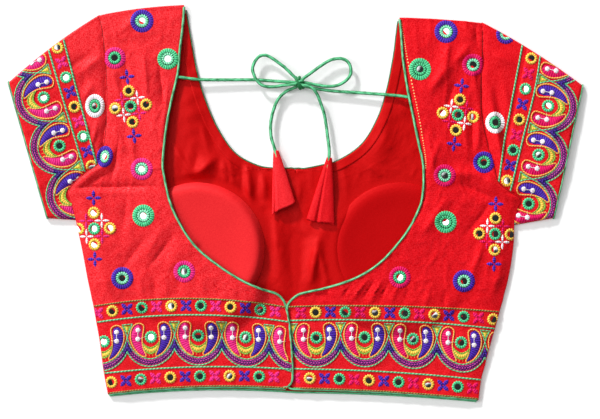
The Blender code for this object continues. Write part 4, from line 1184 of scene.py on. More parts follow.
def scallop(work, place, look):
    """One unit of the wide border. place turns a point about its mirror into one on the cloth."""
    def mapped(points, sign=1):
        return [place(sign * x, y) for x, y in points]

    work.ribbon(mapped(mirrored(BRAID)), both_ways(BRAID_WIDTHS), 0.55, "purple", flat=True)
    for sign in (-1, 1):
        work.ribbon(mapped(BRAID[:3], sign), [1.06 * w for w in BRAID_WIDTHS[:3]], 0.75, "violet", flat=True)
    work.cord(mapped(mirrored(OUTER_ARC)), 0.62, "green_cord")
    work.cord(mapped(mirrored(INNER_ARC)), 0.58, "green_cord")
    upper, lower = PAISLEY_DOTS
    between = (0.5 * (upper[0] + lower[0]), 0.5 * (upper[1] + lower[1]))
    tail = (lower, (lower[0] + 2.6, lower[1] + 0.4), (-7.4, 0.2))
    for sign, colour in ((1, "pink"), (-1, "blue")):
        work.ribbon(mapped(PAISLEY, sign), PAISLEY_WIDTHS, 0.95, colour)
        work.cord(mapped(PAISLEY_EDGE, sign), 0.62, "orange_cord", 0.9, 0.25)
        for x, y in mapped(PAISLEY_DOTS, sign):
            work.dot(x, y, 2.4, "white", 0.95)
        work.cord(mapped((upper, between, lower), sign), 0.3, "white", 0.8, 0.9)
        work.cord(mapped(tail, sign), 0.22, "white", 0.8, 0.5)
    if look:
        crescent = mapped(mirrored(CRESCENT))
        work.ribbon(crescent, both_ways(CRESCENT_WIDTHS, 1.5, 0.2), 0.5, "lime")
        work.ribbon(crescent, both_ways(CRESCENT_WIDTHS, 0.95), 1.1, "yellow")
        work.cord(mapped(mirrored(CRESCENT_RIM)), 0.5, "lime_cord", 0.9, 0.4)
        work.cord(mapped(mirrored(CRESCENT_TOP)), 0.5, "lime_cord", 0.9, 0.5)
    for x in FEET:
        work.petal(place(x, -15.6 + 0.35 * abs(x)), place(0.9 * x, -19.8 + 0.25 * abs(x)), 0.5, "orange", 0.6)
    work.cord(mapped(TRIANGLE_TOP), 0.5, "green_cord", 0.9)
    for heights, widths, raised, colour in (((13.2, 11.5, 9, 6), (4.2, 3.4, 2.2, 0.5), 0.5, "lime"),
                                            ((12.4, 10.8, 8.4, 6.6), (2.3, 1.8, 1, 0.2), 0.9, "yellow")):
        work.ribbon([place(TRIANGLE_MIDDLE, y) for y in heights], widths, raised, colour, 0.8)
    if look:
        work.mirror(*place(0, 0), "green", 13, look=look)


BAND_ORDER = ("yellow", "blue", "green", "pink")
BAND_MIRROR = 12.6           # size of the mirrors of narrow borders and clusters


def band_motif(work, x, y, kind, turn, look):
    """A mirror or a flower of the narrow borders."""
    if kind in ("yellow", "green"):
        work.mirror(x, y, kind, BAND_MIRROR, look=look)
    else:
        work.flower(x, y, 7.8, 2.2, kind, turn + 0.25 * math.pi)
        work.flower(x, y, 2.8, 0.8, kind, turn)


# ---- the two halves of the back with their hem borders

# For each half: where the mirrors of the wide border are, and its narrow borders. A narrow border
# has the row it runs along, where its first motif is and which kind that is. The letters say what
# the mirrors' glasses show, from the left to the right; an empty one leaves a mirror out.
Hem = namedtuple("Hem", "first_mirror step mirrors mirror_row looks bands")
Band = namedtuple("Band", "row first_x first_kind looks")
UPPER_BAND_ROW = 18.52
LOWER_BAND_ROW = 22.42
HEMS = {
    "left": Hem(-192.2, 47.25, 5, 20, ("h", "b", "b", "d", "h", ""),
                (Band(UPPER_BAND_ROW, -198.4, 3, "ddhddh"), Band(LOWER_BAND_ROW, -184.8, 0, "dhddhd"))),
    "right": Hem(20.4, 48.2, 4, 19.82, "dddhdd",
                 (Band(UPPER_BAND_ROW, 4.8, 3, "ddhdhdd"), Band(LOWER_BAND_ROW, -1, 3, "hdddhdh"))),
}
BAND_STEP = 14.8
BAND_MOTIFS = 15             # at most, in one narrow border
LEFT_BAND_END = -15          # the left half's narrow borders end here, before the lapped edge
CORD_ROWS = ((18.06, "olive_cord", 0.7), (18.98, "green_cord", 0.75), (22.02, "green_cord", 0.75),
             (22.93, "olive_cord", 0.6))
ROW_STEPS = 16
ROW_ENDS = (0.002, 0.998)    # parts of the way across the back where the cords end


def row_line(rows, side, place):
    """Points (x, y) across the back along one place down it."""
    line = []
    first, last = ROW_ENDS
    for k in range(ROW_STEPS + 1):
        point = back_point(rows, side, place, first + (last - first) * k / ROW_STEPS, SNUG)
        line.append((point.x, point.y))
    return line


def row_y(rows, place, x):
    """How far up the garment a row of the back is at some x."""
    row = row_at(rows, place)
    across = (x - row.side_x) / (row.neck_x - row.side_x)
    return row.side_y + (row.neck_y - row.side_y) * across + row.bow * 4 * across * (1 - across)


def embroider_hem(work, rows, side, hem):
    """The thread work of half the hem; the part that would be off the cloth is left out."""
    for place, colour, radius in CORD_ROWS:
        work.cord(row_line(rows, side, place), radius, colour, 1.3)
    for k in range(-1, hem.mirrors + 1):
        middle = hem.first_mirror + hem.step * k

        def place(x, y, middle=middle):
            return (middle + x, row_y(rows, hem.mirror_row, middle + x) + y)
        scallop(work, place, hem.looks[(k + 1) % len(hem.looks)])
    for band in hem.bands:
        for k in range(BAND_MOTIFS):
            x = band.first_x + BAND_STEP * k
            y = row_y(rows, band.row, x)
            if (side > 0 or x < LEFT_BAND_END) and work.ground.level(x, y) is not None:
                look = band.looks[(k // 2) % len(band.looks)]
                band_motif(work, x, y, BAND_ORDER[(band.first_kind + k) % 4], 0, look)


# The single mirrors: their threads outside and inside, place, size, look, how they are squashed
# by the way the cloth lies, and their turn.
Disc = namedtuple("Disc", "outer inner x y size look squash turn", defaults=((1, 1), 0))
DISCS = {
    "left": (
        Disc("blue", "mint", -154, 184, 23.5, "b"),
        Disc("pink", "green", -181.2, 147, 22, "d"),
        Disc("green", "mint", -128, 146, 21.5, "b"),
        Disc("pink", "mint", -154, 36, 22.5, "b"),
        Disc("green", "mint", -152.3, -10.6, 22.5, "b"),
        Disc("blue", "mint", -173.5, -73, 22.5, "d"),
        Disc("pink", "green", -111.5, -66.4, 22, "h"),
    ),
    "right": (
        Disc("blue", "mint", 150, 173.4, 23.5, "b"),
        Disc("green", "green", 123.8, 135.7, 22.5, "h"),
        Disc("pink", "mint", 177, 140, 22.5, "d"),
        Disc("blue", "green", 187.9, 42.7, 22, "d"),
        Disc("pink", "mint", 148.3, 29.5, 22.5, "h"),
        Disc("green", "green", 149.3, -16.9, 22.5, "b"),
        Disc("blue", "mint", 167.6, -76, 22.5, "d"),
        Disc("pink", "green", 103.5, -72, 22, "b"),
    ),
    "sleeve_left": (
        Disc("white", "green", -201, 99, 24, "h", (0.82, 1)),
        Disc("blue", "mint", -191, 48.4, 22, "b", (0.76, 1), -0.15),
    ),
    "sleeve_right": (
        Disc("white", "green", 199, 82.3, 22, "d", (0.9, 1)),
        Disc("blue", "mint", 210, 171, 20, "d"),
    ),
}

# The clusters: a green mirror with four yellow ones round it, flowers between and two beyond.
Cluster = namedtuple("Cluster", "x y turn reach far")
CLUSTERS = {
    "left": (Cluster(-165.2, 98.4, -0.12, 15.7, 29.8), Cluster(-201.6, -23.6, -0.02, 15.8, 30.6)),
    "right": (Cluster(161.8, 90, 0.13, 15.4, 29.4), Cluster(198.8, -29, 0.03, 15.8, 30)),
}
CLUSTER_GLASS = {"left": ("ddddh", "bbbbb"), "right": ("ddhdb", "dddhd")}  # middle, top, right, low, left


def embroider_clusters(work, name):
    """Clusters of mirrors with white and pink flowers between; the two halves mirror each other."""
    quarter = 0.5 * math.pi
    pair = ("white", "pink") if name == "left" else ("pink", "white")
    for cluster, looks in zip(CLUSTERS[name], CLUSTER_GLASS[name]):
        def at(angle, reach, cluster=cluster):
            way = angle + cluster.turn
            return cluster.x + reach * math.sin(way), cluster.y + reach * math.cos(way)
        lean = quarter - cluster.turn
        for k in range(4):
            work.flower(*at(quarter * (k + 0.5), 0.7 * cluster.reach), 7.8, 1.25, pair[k % 2], lean)
        for k in range(4):
            work.mirror(*at(quarter * k, cluster.reach), "yellow", BAND_MIRROR, look=looks[k + 1])
        work.mirror(*at(0, 0), "green", 13, look=looks[0])
        for angle in (0, math.pi):
            work.flower(*at(angle, cluster.far), 8, 1.8, "blue", lean)


DISC_GLASS = 3.4             # radius of their glasses


def embroider_discs(work, discs):
    for disc in discs:
        work.mirror(disc.x, disc.y, disc.outer, disc.size, disc.inner, DISC_GLASS, disc.look,
                    disc.squash, disc.turn)


STRIP = 0.45                 # thickness of the border strips' own cloth


def lifted(points, distance=0.05):
    """Points just above other cloth, to lay a strip on it."""
    return [point + Vector((0, 0, distance)) for point in points]


def make_back(name, rows, side):
    """Half of the back with its hem border and its thread work, and the panel's upper side."""
    places, grid = fine_back(rows, side)
    panel, top = shell("back_" + name, "silk", grid, CLOTH, SILKS[name])
    first = next(k for k, place in enumerate(places) if place >= FIRST_BORDER_ROW)
    under = [lifted(line) for line in top[first:]]
    strip, strip_top = shell("hem_border_" + name, "silk", under, STRIP, BORDER_SILK)
    work = ThreadWork("embroidery_back_" + name, Ground([top, strip_top]))
    embroider_hem(work, rows, side, HEMS[name])
    embroider_discs(work, DISCS[name])
    embroider_clusters(work, name)
    paint_armhole_seam_shade(work, rows, side)
    if side > 0:
        embroider_topstitch(work, rows, side)
    return panel, strip, work.make(), top


ARMHOLE_STEPS = 39


def paint_armhole_seam_shade(work, rows, side):
    """The seam that a sleeve is set in with, just inside the panel's edge, drawn as a dark red cord: painted
    shade of the seam's groove.
    """
    points = []
    for step in range(ARMHOLE_STEPS + 1):
        row = row_at(rows, 0.1 + step * (UNDERARM_PLACE - 0.5) / ARMHOLE_STEPS)
        points.append((row.side_x - side, row.side_y))
    work.cord(points, 0.42, "seam", 1.3, -0.25)


TOPSTITCH_PLACES = (0.3, 6.3)  # where the stitches start and end, in rows of the table
TOPSTITCH_STEP = 0.11          # from one to the next; they curve away from the piping and back


def embroider_topstitch(work, rows, side):
    """The row of pale stitches beside the right neck piping."""
    place, last = TOPSTITCH_PLACES
    while place < last:
        ends = []
        for here in (place, place + 0.6 * TOPSTITCH_STEP):
            away = 2.6 + 4.2 * math.sin(math.pi * max(here - 0.7, 0) / 5.9)
            ends.append(tuple(edge_point(rows, side, here, "neck", away)))
        work.petal(*ends, 0.75, "gold", 0.6)
        place += TOPSTITCH_STEP


SLEEVE_LINES = 96            # across one side of it
SLEEVE_RINGS = 40            # down it
TUCKED_IN = -0.03            # the sleeve starts this part of its length inside the armhole
SLEEVE_WIDTH = 190           # about, at the armhole
FOLD_ROUND = 2.4             # how far in from a folded edge the cloth is still turning


def sleeve_places():
    near = (0, 0.012, 0.03, 0.055, 0.09)
    inner = [k / SLEEVE_LINES for k in range(1, SLEEVE_LINES)]
    kept = tuple(k for k in inner if 0.012 < k < 0.988)
    return sorted(set(near + kept + tuple(1 - k for k in near)))


def rounded(across):
    """0 on a folded edge, rising to 1 where the cloth has turned."""
    distance = min(across, 1 - across) * SLEEVE_WIDTH / FOLD_ROUND
    return math.sqrt(max(1 - (1 - min(distance, 1)) ** 2, 0))


def sleeve_surface(sleeve, across, along):
    """A point on the upper side of the sleeve, with its creases."""
    point = sleeve_plan(sleeve, across, along)
    height = sleeve_height(sleeve, across, along, point.x, point.y)
    loose = math.sin(math.pi * across) ** 0.5 if 0 < across < 1 else 0
    height += loose * BACK_CREASING * fold_height(SLEEVE_CREASES, point.x, point.y, True)
    height += loose * unevenness(point.x, point.y, 9)
    height += loose * seam_ease(max(along, 0) * 90, across * SLEEVE_SEAM_ROWS, sleeve.side + 4)
    half = 0.5 * SLEEVE_FOLD_Z
    return Vector((point.x, point.y, half + (height - half) * rounded(across)))


def way_down(sleeve):
    """The direction of the sleeve's open end, from its top to its low corner."""
    return Vector((sleeve.end_low_x - sleeve.end_top_x, sleeve.end_low_y - sleeve.end_top_y)).normalized()


def sleeve_tube(name, sleeve, places):
    """The sleeve as a flattened tube, and the grid of its upper side."""
    half = 0.5 * SLEEVE_FOLD_Z
    verts = []
    grid = []
    for along in [TUCKED_IN] + [k / SLEEVE_RINGS for k in range(SLEEVE_RINGS + 1)]:
        upper = []
        for across in places:
            point = sleeve_surface(sleeve, across, max(along, 0))
            if along < 0:
                plan = sleeve_plan(sleeve, across, along)
                point = Vector((plan.x, plan.y, max(point.z - 0.5, half)))
            upper.append(point)
        grid.append(upper)
        verts += upper
        verts += [Vector((point.x, point.y, half * (1 - rounded(across))))
                  for across, point in list(zip(places, upper))[-2:0:-1]]
    down = way_down(sleeve)
    uvs = [(point.x * down.x + point.y * down.y, point.y * down.x - point.x * down.y) for point in verts]
    faces = ring_faces(len(grid), 2 * len(places) - 2)
    piece = make_mesh("sleeve_" + name + "_silk", verts, faces, uvs, [SILKS[name]])
    recalculate(piece)
    if sum(p.normal.z * p.area for p in piece.data.polygons if p.center.z > 0.003) < 0:
        piece.data.flip_normals()
    thicken(piece, CLOTH, -1)
    stand_for("sleeve_" + name)
    return piece, grid


def sleeve_border(name, sleeve, places):
    """The embroidered strip on the upper side of the sleeve, and its own upper side."""
    strip = []
    for r in range(0, SLEEVE_RINGS + 1, 2):
        line = []
        for across in places:
            if 0.006 < across < 0.994:
                first = border_start(sleeve, across)
                line.append(sleeve_surface(sleeve, across, first + (1 - first) * r / SLEEVE_RINGS))
        strip.append(lifted(line))
    return shell("sleeve_border_" + name, "silk", strip, STRIP, BORDER_SILK)


CUFF_ROUND = 0.95            # radius of the piping


def cuff_piping(name, sleeve, places):
    """The green piping all round the sleeve's open end."""
    half = 0.5 * SLEEVE_FOLD_Z
    path = [(across, sleeve_surface(sleeve, across, 1)) for across in places]
    loop = lifted([point for _, point in path], -0.5)
    loop += [Vector((point.x, point.y, max(half * (1 - rounded(across)), 0) + 0.9))
             for across, point in path[-2:0:-1]]
    down = way_down(sleeve)
    out = Vector((-down.y, down.x, 0))
    if out.x * sleeve.side < 0:
        out = -out
    loop = [point + out * 0.9 for point in loop]
    return green_cord("cuff_piping_" + name, loop, CUFF_ROUND, PIPING, closed=True, swell=0.06,
                      seed=sleeve.side)


def make_sleeve(name, sleeve, panel_top):
    """A sleeve with its border, its piping and its thread work."""
    places = sleeve_places()
    cloth, grid = sleeve_tube(name, sleeve, places)
    border, strip_top = sleeve_border(name, sleeve, places)
    piping = cuff_piping(name, sleeve, places)
    work = ThreadWork("embroidery_sleeve_" + name, Ground([grid, strip_top]))
    embroider_sleeve(work, SLEEVE_WORK[name])
    work.ground = Ground([grid, strip_top, panel_top])
    embroider_discs(work, DISCS["sleeve_" + name])
    return cloth, border, piping, work.make()


# The sleeve borders: the first mirror of the scallops and the step to the next, the first motif
# of the narrow border and its step, and the cords beside that, each from top to bottom.
SleeveWork = namedtuple("SleeveWork", "mirror_x mirror_y step_x step_y body_x "
                                      "band_x band_y band_dx band_dy looks cords")
SLEEVE_WORK = {
    "left": SleeveWork(-252.2, 107.4, 15.9, -48.4, 1, -238.6, 157.2, 4.3, -14.78, ("dbdbd", "hbdbhh"),
                       (((-233.6, 169.5), (-199, 39.3), (-188, -4)),
                        ((-248.4, 158), (-211, 33), (-196, -18)))),
    "right": SleeveWork(252, 99, -9.6, -48.9, -1, 235.4, 146.6, -3.05, -15.3, ("dbhdd", "dbddhd"),
                        (((226.8, 161.5), (208.6, 65.3), (202.9, 24), (198, -12)),
                         ((244.6, 151.5), (239, 116), (226.5, 65), (214.4, 13.8), (206, -24)))),
}


SLEEVE_MOTIFS = 13           # at most, below the first one of the narrow border


def embroider_sleeve(work, facts):
    """The thread work of a sleeve's border; the part that would be off the cloth is left out."""
    up = Vector((-facts.step_x, -facts.step_y)).normalized()
    body = Vector((up.y, -up.x))
    if body.x * facts.body_x < 0:
        body = -body
    stretch = math.hypot(facts.step_x, facts.step_y) / UNIT
    for k, look in enumerate(facts.looks[0], -1):
        middle = Vector((facts.mirror_x + k * facts.step_x, facts.mirror_y + k * facts.step_y))

        def place(x, y, middle=middle):
            point = middle + up * x * stretch + body * y
            return (point.x, point.y)
        scallop(work, place, look)
    slope = math.atan2(up.y, up.x) - 0.5 * math.pi
    for k in range(-1, SLEEVE_MOTIFS):
        x = facts.band_x + k * facts.band_dx
        y = facts.band_y + k * facts.band_dy
        if work.ground.level(x, y) is not None:
            look = facts.looks[1][max(k, 0) // 2 % 6]
            band_motif(work, x, y, BAND_ORDER[-k % 4], slope, look)
    for points in facts.cords:
        work.cord(points, 0.85, "green_cord", 1.3)


# ---- the front, seen from inside

def front_creasing(x, y):
    """How far the front's lining rises or sinks in its creases."""
    return (fold_height(FRONT_SWELLS, x, y) + CREASING * fold_height(FRONT_CREASES, x, y, True)
            + 0.8 * unevenness(x, y, 17))


# How the lining slopes up to a cup on one side: the cup, the way to that side in degrees, how far round
# the slope goes, how high it rises and how far out it starts.
Skirt = namedtuple("Skirt", "cup way spread height reach")
SKIRTS = (Skirt(CUPS[0], 40, 50, 1, 14), Skirt(CUPS[1], 190, 60, 4, 34))


def cup_skirts(x, y):
    """How far the lining rises beside the cups that it is drawn over."""
    total = 0
    for skirt in SKIRTS:
        radius = math.hypot(x - skirt.cup.x, y - skirt.cup.y)
        turn = math.degrees(math.atan2(y - skirt.cup.y, x - skirt.cup.x)) - skirt.way
        turn = abs((turn + 180) % 360 - 180)
        rise = smooth((CUP_OUTER + skirt.reach - radius) / skirt.reach)
        rise *= smooth((radius - CUP_OUTER + 12) / 10)
        total += skirt.height * rise * smooth((skirt.spread - turn) / 25)
    return total


FRONT_LINES = 8              # of the fine front to each row of the tables
FRONT_FINE = 72              # columns on the inner part of half the front, which shows
FRONT_COARSE = 20            # and on the rest, which lies under the back
FRONT_HIDDEN = 0.4           # how much of half the front the rest is
FRONT_TUCKS = 0.9            # height of the tucks along the neck


def make_front():
    """The front with its lining up: two halves that meet on the centre line below the neck."""
    build = bmesh.new()
    uv = build.loops.layers.uv.new("cloth")
    acrosses = [FRONT_HIDDEN * k / FRONT_COARSE for k in range(FRONT_COARSE)]
    acrosses += [FRONT_HIDDEN + (1 - FRONT_HIDDEN) * k / FRONT_FINE for k in range(FRONT_FINE + 1)]
    places = [k / FRONT_LINES for k in range(LAST * FRONT_LINES + 1)]
    for rows, side in ((LEFT_ROWS, -1), (RIGHT_ROWS, 1)):
        lines = []
        for place in places:
            line = []
            neck = front_point(rows, side, place, 1)
            for across in acrosses:
                point = front_point(rows, side, place, across)
                clear = 1
                for cup in CUPS:
                    clear *= smooth((math.hypot(point.x - cup.x, point.y - cup.y) - CUP_OUTER - 2) / 8)
                edge = smooth(across * 40)
                raised = front_creasing(point.x, point.y)
                inside = math.hypot(point.x - neck.x, point.y - neck.y) + 40 * smooth(place - 9)
                tuck = noise.noise(Vector((place * 8, inside / 12, 4 * side)))
                raised = edge * raised + FRONT_TUCKS * tuck * math.exp(-(inside / 8) ** 2)
                point.z = max(point.z + clear * raised + cup_skirts(point.x, point.y), 0)
                line.append(build.verts.new(point * MM))
            lines.append(line)
        for first, second in zip(lines, lines[1:]):
            for k in range(len(first) - 1):
                build.faces.new((first[k], second[k], second[k + 1], first[k + 1]))
    bmesh.ops.remove_doubles(build, verts=build.verts, dist=0.03 * MM)
    build.normal_update()
    bmesh.ops.reverse_faces(build, faces=[face for face in build.faces if face.normal.z < 0])
    for face in build.faces:
        for loop in face.loops:
            loop[uv].uv = (loop.vert.co.x / MM, loop.vert.co.y / MM)
    mesh = bpy.data.meshes.new("front_lining")
    build.to_mesh(mesh)
    build.free()
    mesh.shade_smooth()
    mesh.materials.append(LINING)
    piece = bpy.data.objects.new("front_lining", mesh)
    bpy.context.scene.collection.objects.link(piece)
    thicken(piece, CLOTH, 1)
    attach(piece, "root")
    stand_for("front")
    return piece


def front_edge(offset, first, step):
    """Points along the front neck at a distance in from its finished edge, from left to right."""
    points = []
    for rows, side, order in ((LEFT_ROWS, -1, 1), (RIGHT_ROWS, 1, -1)):
        half = []
        place = first
        while place < 8.95:
            edge = edge_point(rows, side, place, "front", offset)
            if edge.x * side > 0.6:
                half.append(edge)
            place += step
        points += half[::order]
    return points


def front_top(x, y):
    """The upper side of the front's lining near its neck."""
    return max(front_height(x, y) + front_creasing(x, y), 0) + CLOTH


FRONT_ROUND = 0.6            # radius of the piping
FACING_LINES = (1.9, 3.2, 4.8, 6.4, 8, 9.4, 10.6)  # how far in from the edge the facing is
FACING_CLOTH = 0.55          # its thickness
FACING_TURN = 0.7            # of its weave, in radians


def make_front_neck():
    """The piping on the front neck and the facing inside it, which comes back."""
    edge = [Vector((point.x, point.y, max(front_top(point.x, point.y) - 0.3, 1)))
            for point in front_edge(1.15, 0.12, 0.12)]
    green_cord("front_neck_piping", edge, FRONT_ROUND, THIN_PIPING, swell=0.06)
    lines = []
    for offset in FACING_LINES:
        line = []
        for point in front_edge(offset, 0.3, 0.12):
            shown = smooth((abs(point.x + 9) - 41) / 12)
            line.append(Vector((point.x, point.y, front_top(point.x, point.y) + 0.8 * shown - 0.72)))
        lines.append(line)
    return shell("front_neck_facing", "lining", lines, FACING_CLOTH, LINING, FACING_TURN)[0]


# The cups as the cloth over them shows them, with a broad soft rim: how far they lean inwards
# and their (radius, height) from the middle out.
SoftCup = namedtuple("SoftCup", "lean profile")
SOFT_CUPS = {
    "cup_left": SoftCup(0.62, (
        (0, 4.8), (25, 5), (42, 5.6), (52, 6.2), (57, 6.4), (60, 6.2), (62.5, 5.5),
        (64.8, 4), (66.6, 2.1), (67.6, 0.8), (67.2, 0))),
    "cup_right": SoftCup(-0.5, (
        (0, 1.3), (25, 1.4), (42, 1.8), (52, 2.3), (57, 2.5), (60, 2.4), (62.5, 2.1),
        (64.8, 1.5), (66.6, 0.9), (67.6, 0.4), (67.2, 0))),
}
CUP_RINGS = 44
CUP_SIDES = 96
CUP_SWELL = 0.25             # how far the foam rises and sinks here and there


def make_cup(cup):
    """A foam cup under the lining, hollow side up."""
    soft = SOFT_CUPS[cup.name]
    last_row = len(soft.profile) - 1
    profile = [catmull_rom(soft.profile, k * last_row / CUP_RINGS) for k in range(CUP_RINGS + 1)]
    profile = [p for p in profile if p[0] > 0.5]
    verts = [Vector((0, 0, CUP_MIDDLE))]
    for radius, height in profile:
        for s in range(CUP_SIDES):
            turn = 2 * math.pi * s / CUP_SIDES
            verts.append(Vector((radius * math.cos(turn), radius * math.sin(turn), max(height, 0))))
    verts.append(Vector((0, 0, 0)))
    for vert in verts:
        lean = 1 + (soft.lean * vert.x + cup.lean_up * vert.y) / CUP_OUTER
        swell = CUP_SWELL * noise.noise(Vector((vert.x / 22, vert.y / 22, cup.x)))
        vert.z = vert.z * lean + (swell if vert.z > 1.5 else 0)
        vert.x += cup.x
        vert.y += cup.y
        vert.z += CUP_BASE
    last = 1 + (len(profile) - 1) * CUP_SIDES
    end = len(verts) - 1
    after = [(s + 1) % CUP_SIDES for s in range(CUP_SIDES)]
    faces = [(0, 1 + s, 1 + after[s]) for s in range(CUP_SIDES)]
    faces += ring_faces(len(profile), CUP_SIDES, 1)
    faces += [(last + s, end, last + after[s]) for s in range(CUP_SIDES)]
    uvs = [(vert.x, vert.y) for vert in verts]
    piece = make_mesh(cup.name + "_lining", verts, faces, uvs, [CUP_CLOTHS[cup.name]])
    recalculate(piece)
    stand_for(cup.name)


# ---- pipings, placket, dori and tassels

# Radii of the pipings as they are seen.
NECK_ROUND = 1.3
HEM_ROUND = 1.05
HEM_STEPS = 80
FRONT_HEM_STEPS = 60
NECK_FIRST = 0.12            # where the neck pipings start, and their steps, in rows of the tables
NECK_STEP = 0.14


def hem_turn(start, end):
    """Points of a quarter turn from the end of the centre edge into the hem."""
    corner = Vector((start.x, end.y, 0.5 * (start.z + end.z)))
    return [start.lerp(corner, k / 10).lerp(corner.lerp(end, k / 10), k / 10) for k in range(1, 11)]


def make_neck_piping(name, rows, side, last_place):
    points = []
    place = NECK_FIRST
    while place < last_place:
        edge = edge_point(rows, side, place, "neck", 0.5 * NECK_PIPING)
        if side < 0:
            edge.y += 0.5 * NECK_PIPING * smooth(place - (LAST - 1))
        panel = back_point(rows, side, place, 1, SNUG)
        level = panel.z + unevenness(panel.x, panel.y, 3)
        points.append(Vector((edge.x, edge.y, level + 0.5 * CLOTH + 0.25)))
        place += NECK_STEP
    if side < 0:
        points += hem_turn(points[-1], back_point(rows, side, LAST, 0.955, SNUG) + Vector((0, 0.3, 0.9)))
    green_cord("neck_piping_" + name, points, NECK_ROUND, PIPING, swell=0.07, seed=side)


def make_hem_piping(name, rows, side):
    points = []
    for k in range(HEM_STEPS + 1):
        hem = back_point(rows, side, LAST, min(max(k / HEM_STEPS, 0.004), 0.99), SNUG)
        points.append(hem + Vector((0, -0.6, 0.5 * CLOTH + 0.2)))
    if side > 0:
        points += [points[-1] + Vector((-1.2 * k, 0.08 * k * k, 0)) for k in range(1, 7)]
    green_cord("hem_piping_" + name, points, HEM_ROUND, LIGHTENED_HEM_PIPING, swell=0.06, seed=side + 4)


def make_front_hem_piping():
    points = []
    for rows, side, order in ((LEFT_ROWS, -1, 1), (RIGHT_ROWS, 1, -1)):
        half = [front_point(rows, side, LAST, max(k / FRONT_HEM_STEPS, 0.01))
                for k in range(FRONT_HEM_STEPS + 1)]
        points += half[:-1][::order] if points else half
    lowered = [point + Vector((0, -0.9, 1.05)) for point in points]
    green_cord("front_hem_piping", lowered, HEM_ROUND, LIGHTENED_HEM_PIPING, swell=0.06)


PLACKET_ROWS = 42
PLACKET_COLUMNS = 10


def make_placket():
    """The hook placket under the left half's edge."""
    left, right, top, bottom = PLACKET
    grid = []
    for r in range(PLACKET_ROWS + 1):
        y = top + (bottom - top) * r / PLACKET_ROWS
        grid.append([Vector((left + (right - left) * c / PLACKET_COLUMNS, y, CLOTH + GAP))
                     for c in range(PLACKET_COLUMNS + 1)])
    return shell("back_placket", "silk", grid, CLOTH, SILKS["left"])[0]


def make_dori(name, exit_index, far_end):
    """One stretch of the dori as a limp cord that lies where it was tied."""
    points = resample(DORI_ROUTES[name], 1.4)
    cord = green_cord(name, points, 0.53 * DORI, DORI_CLOTH, sides=14, swell=0.16, seed=len(name))
    length = sum((b - a).length for a, b in zip(points, points[1:])) * MM
    [tuple(point * MM) for point in points[::1 if exit_index == 0 else -1]]


KNOT_STEPS = 40
KNOT_TURN = 1.65             # radius of the cord in its turns
KNOT_CORE = 3.3              # and of the core inside them


def make_knot():
    """The bow knot: a slanting core with three turns of the cord round it."""
    centre = Vector(KNOT)
    up = Vector((0, 0, 1))
    loops = []
    for along, wide, high, swing in KNOT_LOOPS:
        across = Vector((math.cos(along), math.sin(along), 0))
        aside = Vector((-math.sin(along), math.cos(along), 0))
        loop = []
        for k in range(KNOT_STEPS):
            turn = 2 * math.pi * k / KNOT_STEPS
            loop.append(centre + across * wide * math.cos(turn) + up * high * math.sin(turn)
                        + aside * swing * math.cos(2 * turn))
        loops.append(loop)
    parts = [tube("dori_knot_turn", loop, KNOT_TURN, DORI_CLOTH, 12, True, 0.1, len(loops))
             for loop in loops]
    knot = green_cord("dori_knot", [centre + Vector((x, -0.8 * x, 0)) for x in (-2.4, -1.2, 0, 1.2, 2.4)],
                      KNOT_CORE, DORI_CLOTH, sides=14)
    build = bmesh.new()
    build.from_mesh(knot.data)
    for piece in parts:
        build.from_mesh(piece.data)
        mesh = piece.data
        bpy.data.objects.remove(piece)
        bpy.data.meshes.remove(mesh)
    build.to_mesh(knot.data)
    build.free()
    knot.data.shade_smooth()
    return knot


def make_tassel(tassel):
    """A cone of silk, pressed flat, with a sharp pleat and an open hem."""
    top = Vector((tassel.x, tassel.y))
    hem = Vector((tassel.hem_x, tassel.hem_y))
    axis = (hem - top).normalized()
    across = Vector((-axis.y, axis.x))
    verts = []
    uvs = []
    for index in range(TASSEL_RINGS + 1):
        part = index / TASSEL_RINGS
        half_width = TASSEL_TOP[0] - 0.6 + (0.5 * tassel.hem_width - TASSEL_TOP[0]) * part ** 0.92
        half_height = TASSEL_TOP[1] - 0.4 + (TASSEL_HEM_HALF_HEIGHT - TASSEL_TOP[1]) * part
        centre = top.lerp(hem, part)
        for k in range(TASSEL_SIDES):
            turn = 2 * math.pi * k / TASSEL_SIDES
            sideways = math.cos(turn)
            dent = 0.85 * part * math.exp(-((sideways - tassel.pleat) / 0.1) ** 2)
            ridge = 0.12 * part * math.exp(-((sideways - tassel.pleat - 0.2) / 0.16) ** 2)
            rise = math.sin(turn) * (1 + ((ridge - dent) if math.sin(turn) > 0 else 0))
            wave = 0.6 * part * math.sin(3 * turn + tassel.x)
            place = centre + across * half_width * sideways + axis * (tassel.slant * sideways * part + wave)
            height = TASSEL_FLOOR + half_height * (1 + rise)
            height += TASSEL_LIFT * part * max(sideways, 0)
            height += 0.25 * part * noise.noise(Vector((place.x / 5, place.y / 9, turn)))
            verts.append(Vector((place.x, place.y, height)))
            uvs.append((half_width * sideways, TASSEL_LENGTH * part))
    faces = ring_faces(TASSEL_RINGS + 1, TASSEL_SIDES)
    piece = make_mesh(tassel.name + "_silk", verts, faces, uvs, [TASSEL_CLOTHS[tassel.name]])
    recalculate(piece)
    thicken(piece, TASSEL_CLOTH, -1)
    stand_for(tassel.name)
    return piece


# ---- camera, floor and light

def edge_between(outer, inner):
    """The heights on a unit sphere of two circles round its top, in degrees from the top."""
    return math.cos(math.radians(outer)), math.cos(math.radians(inner))


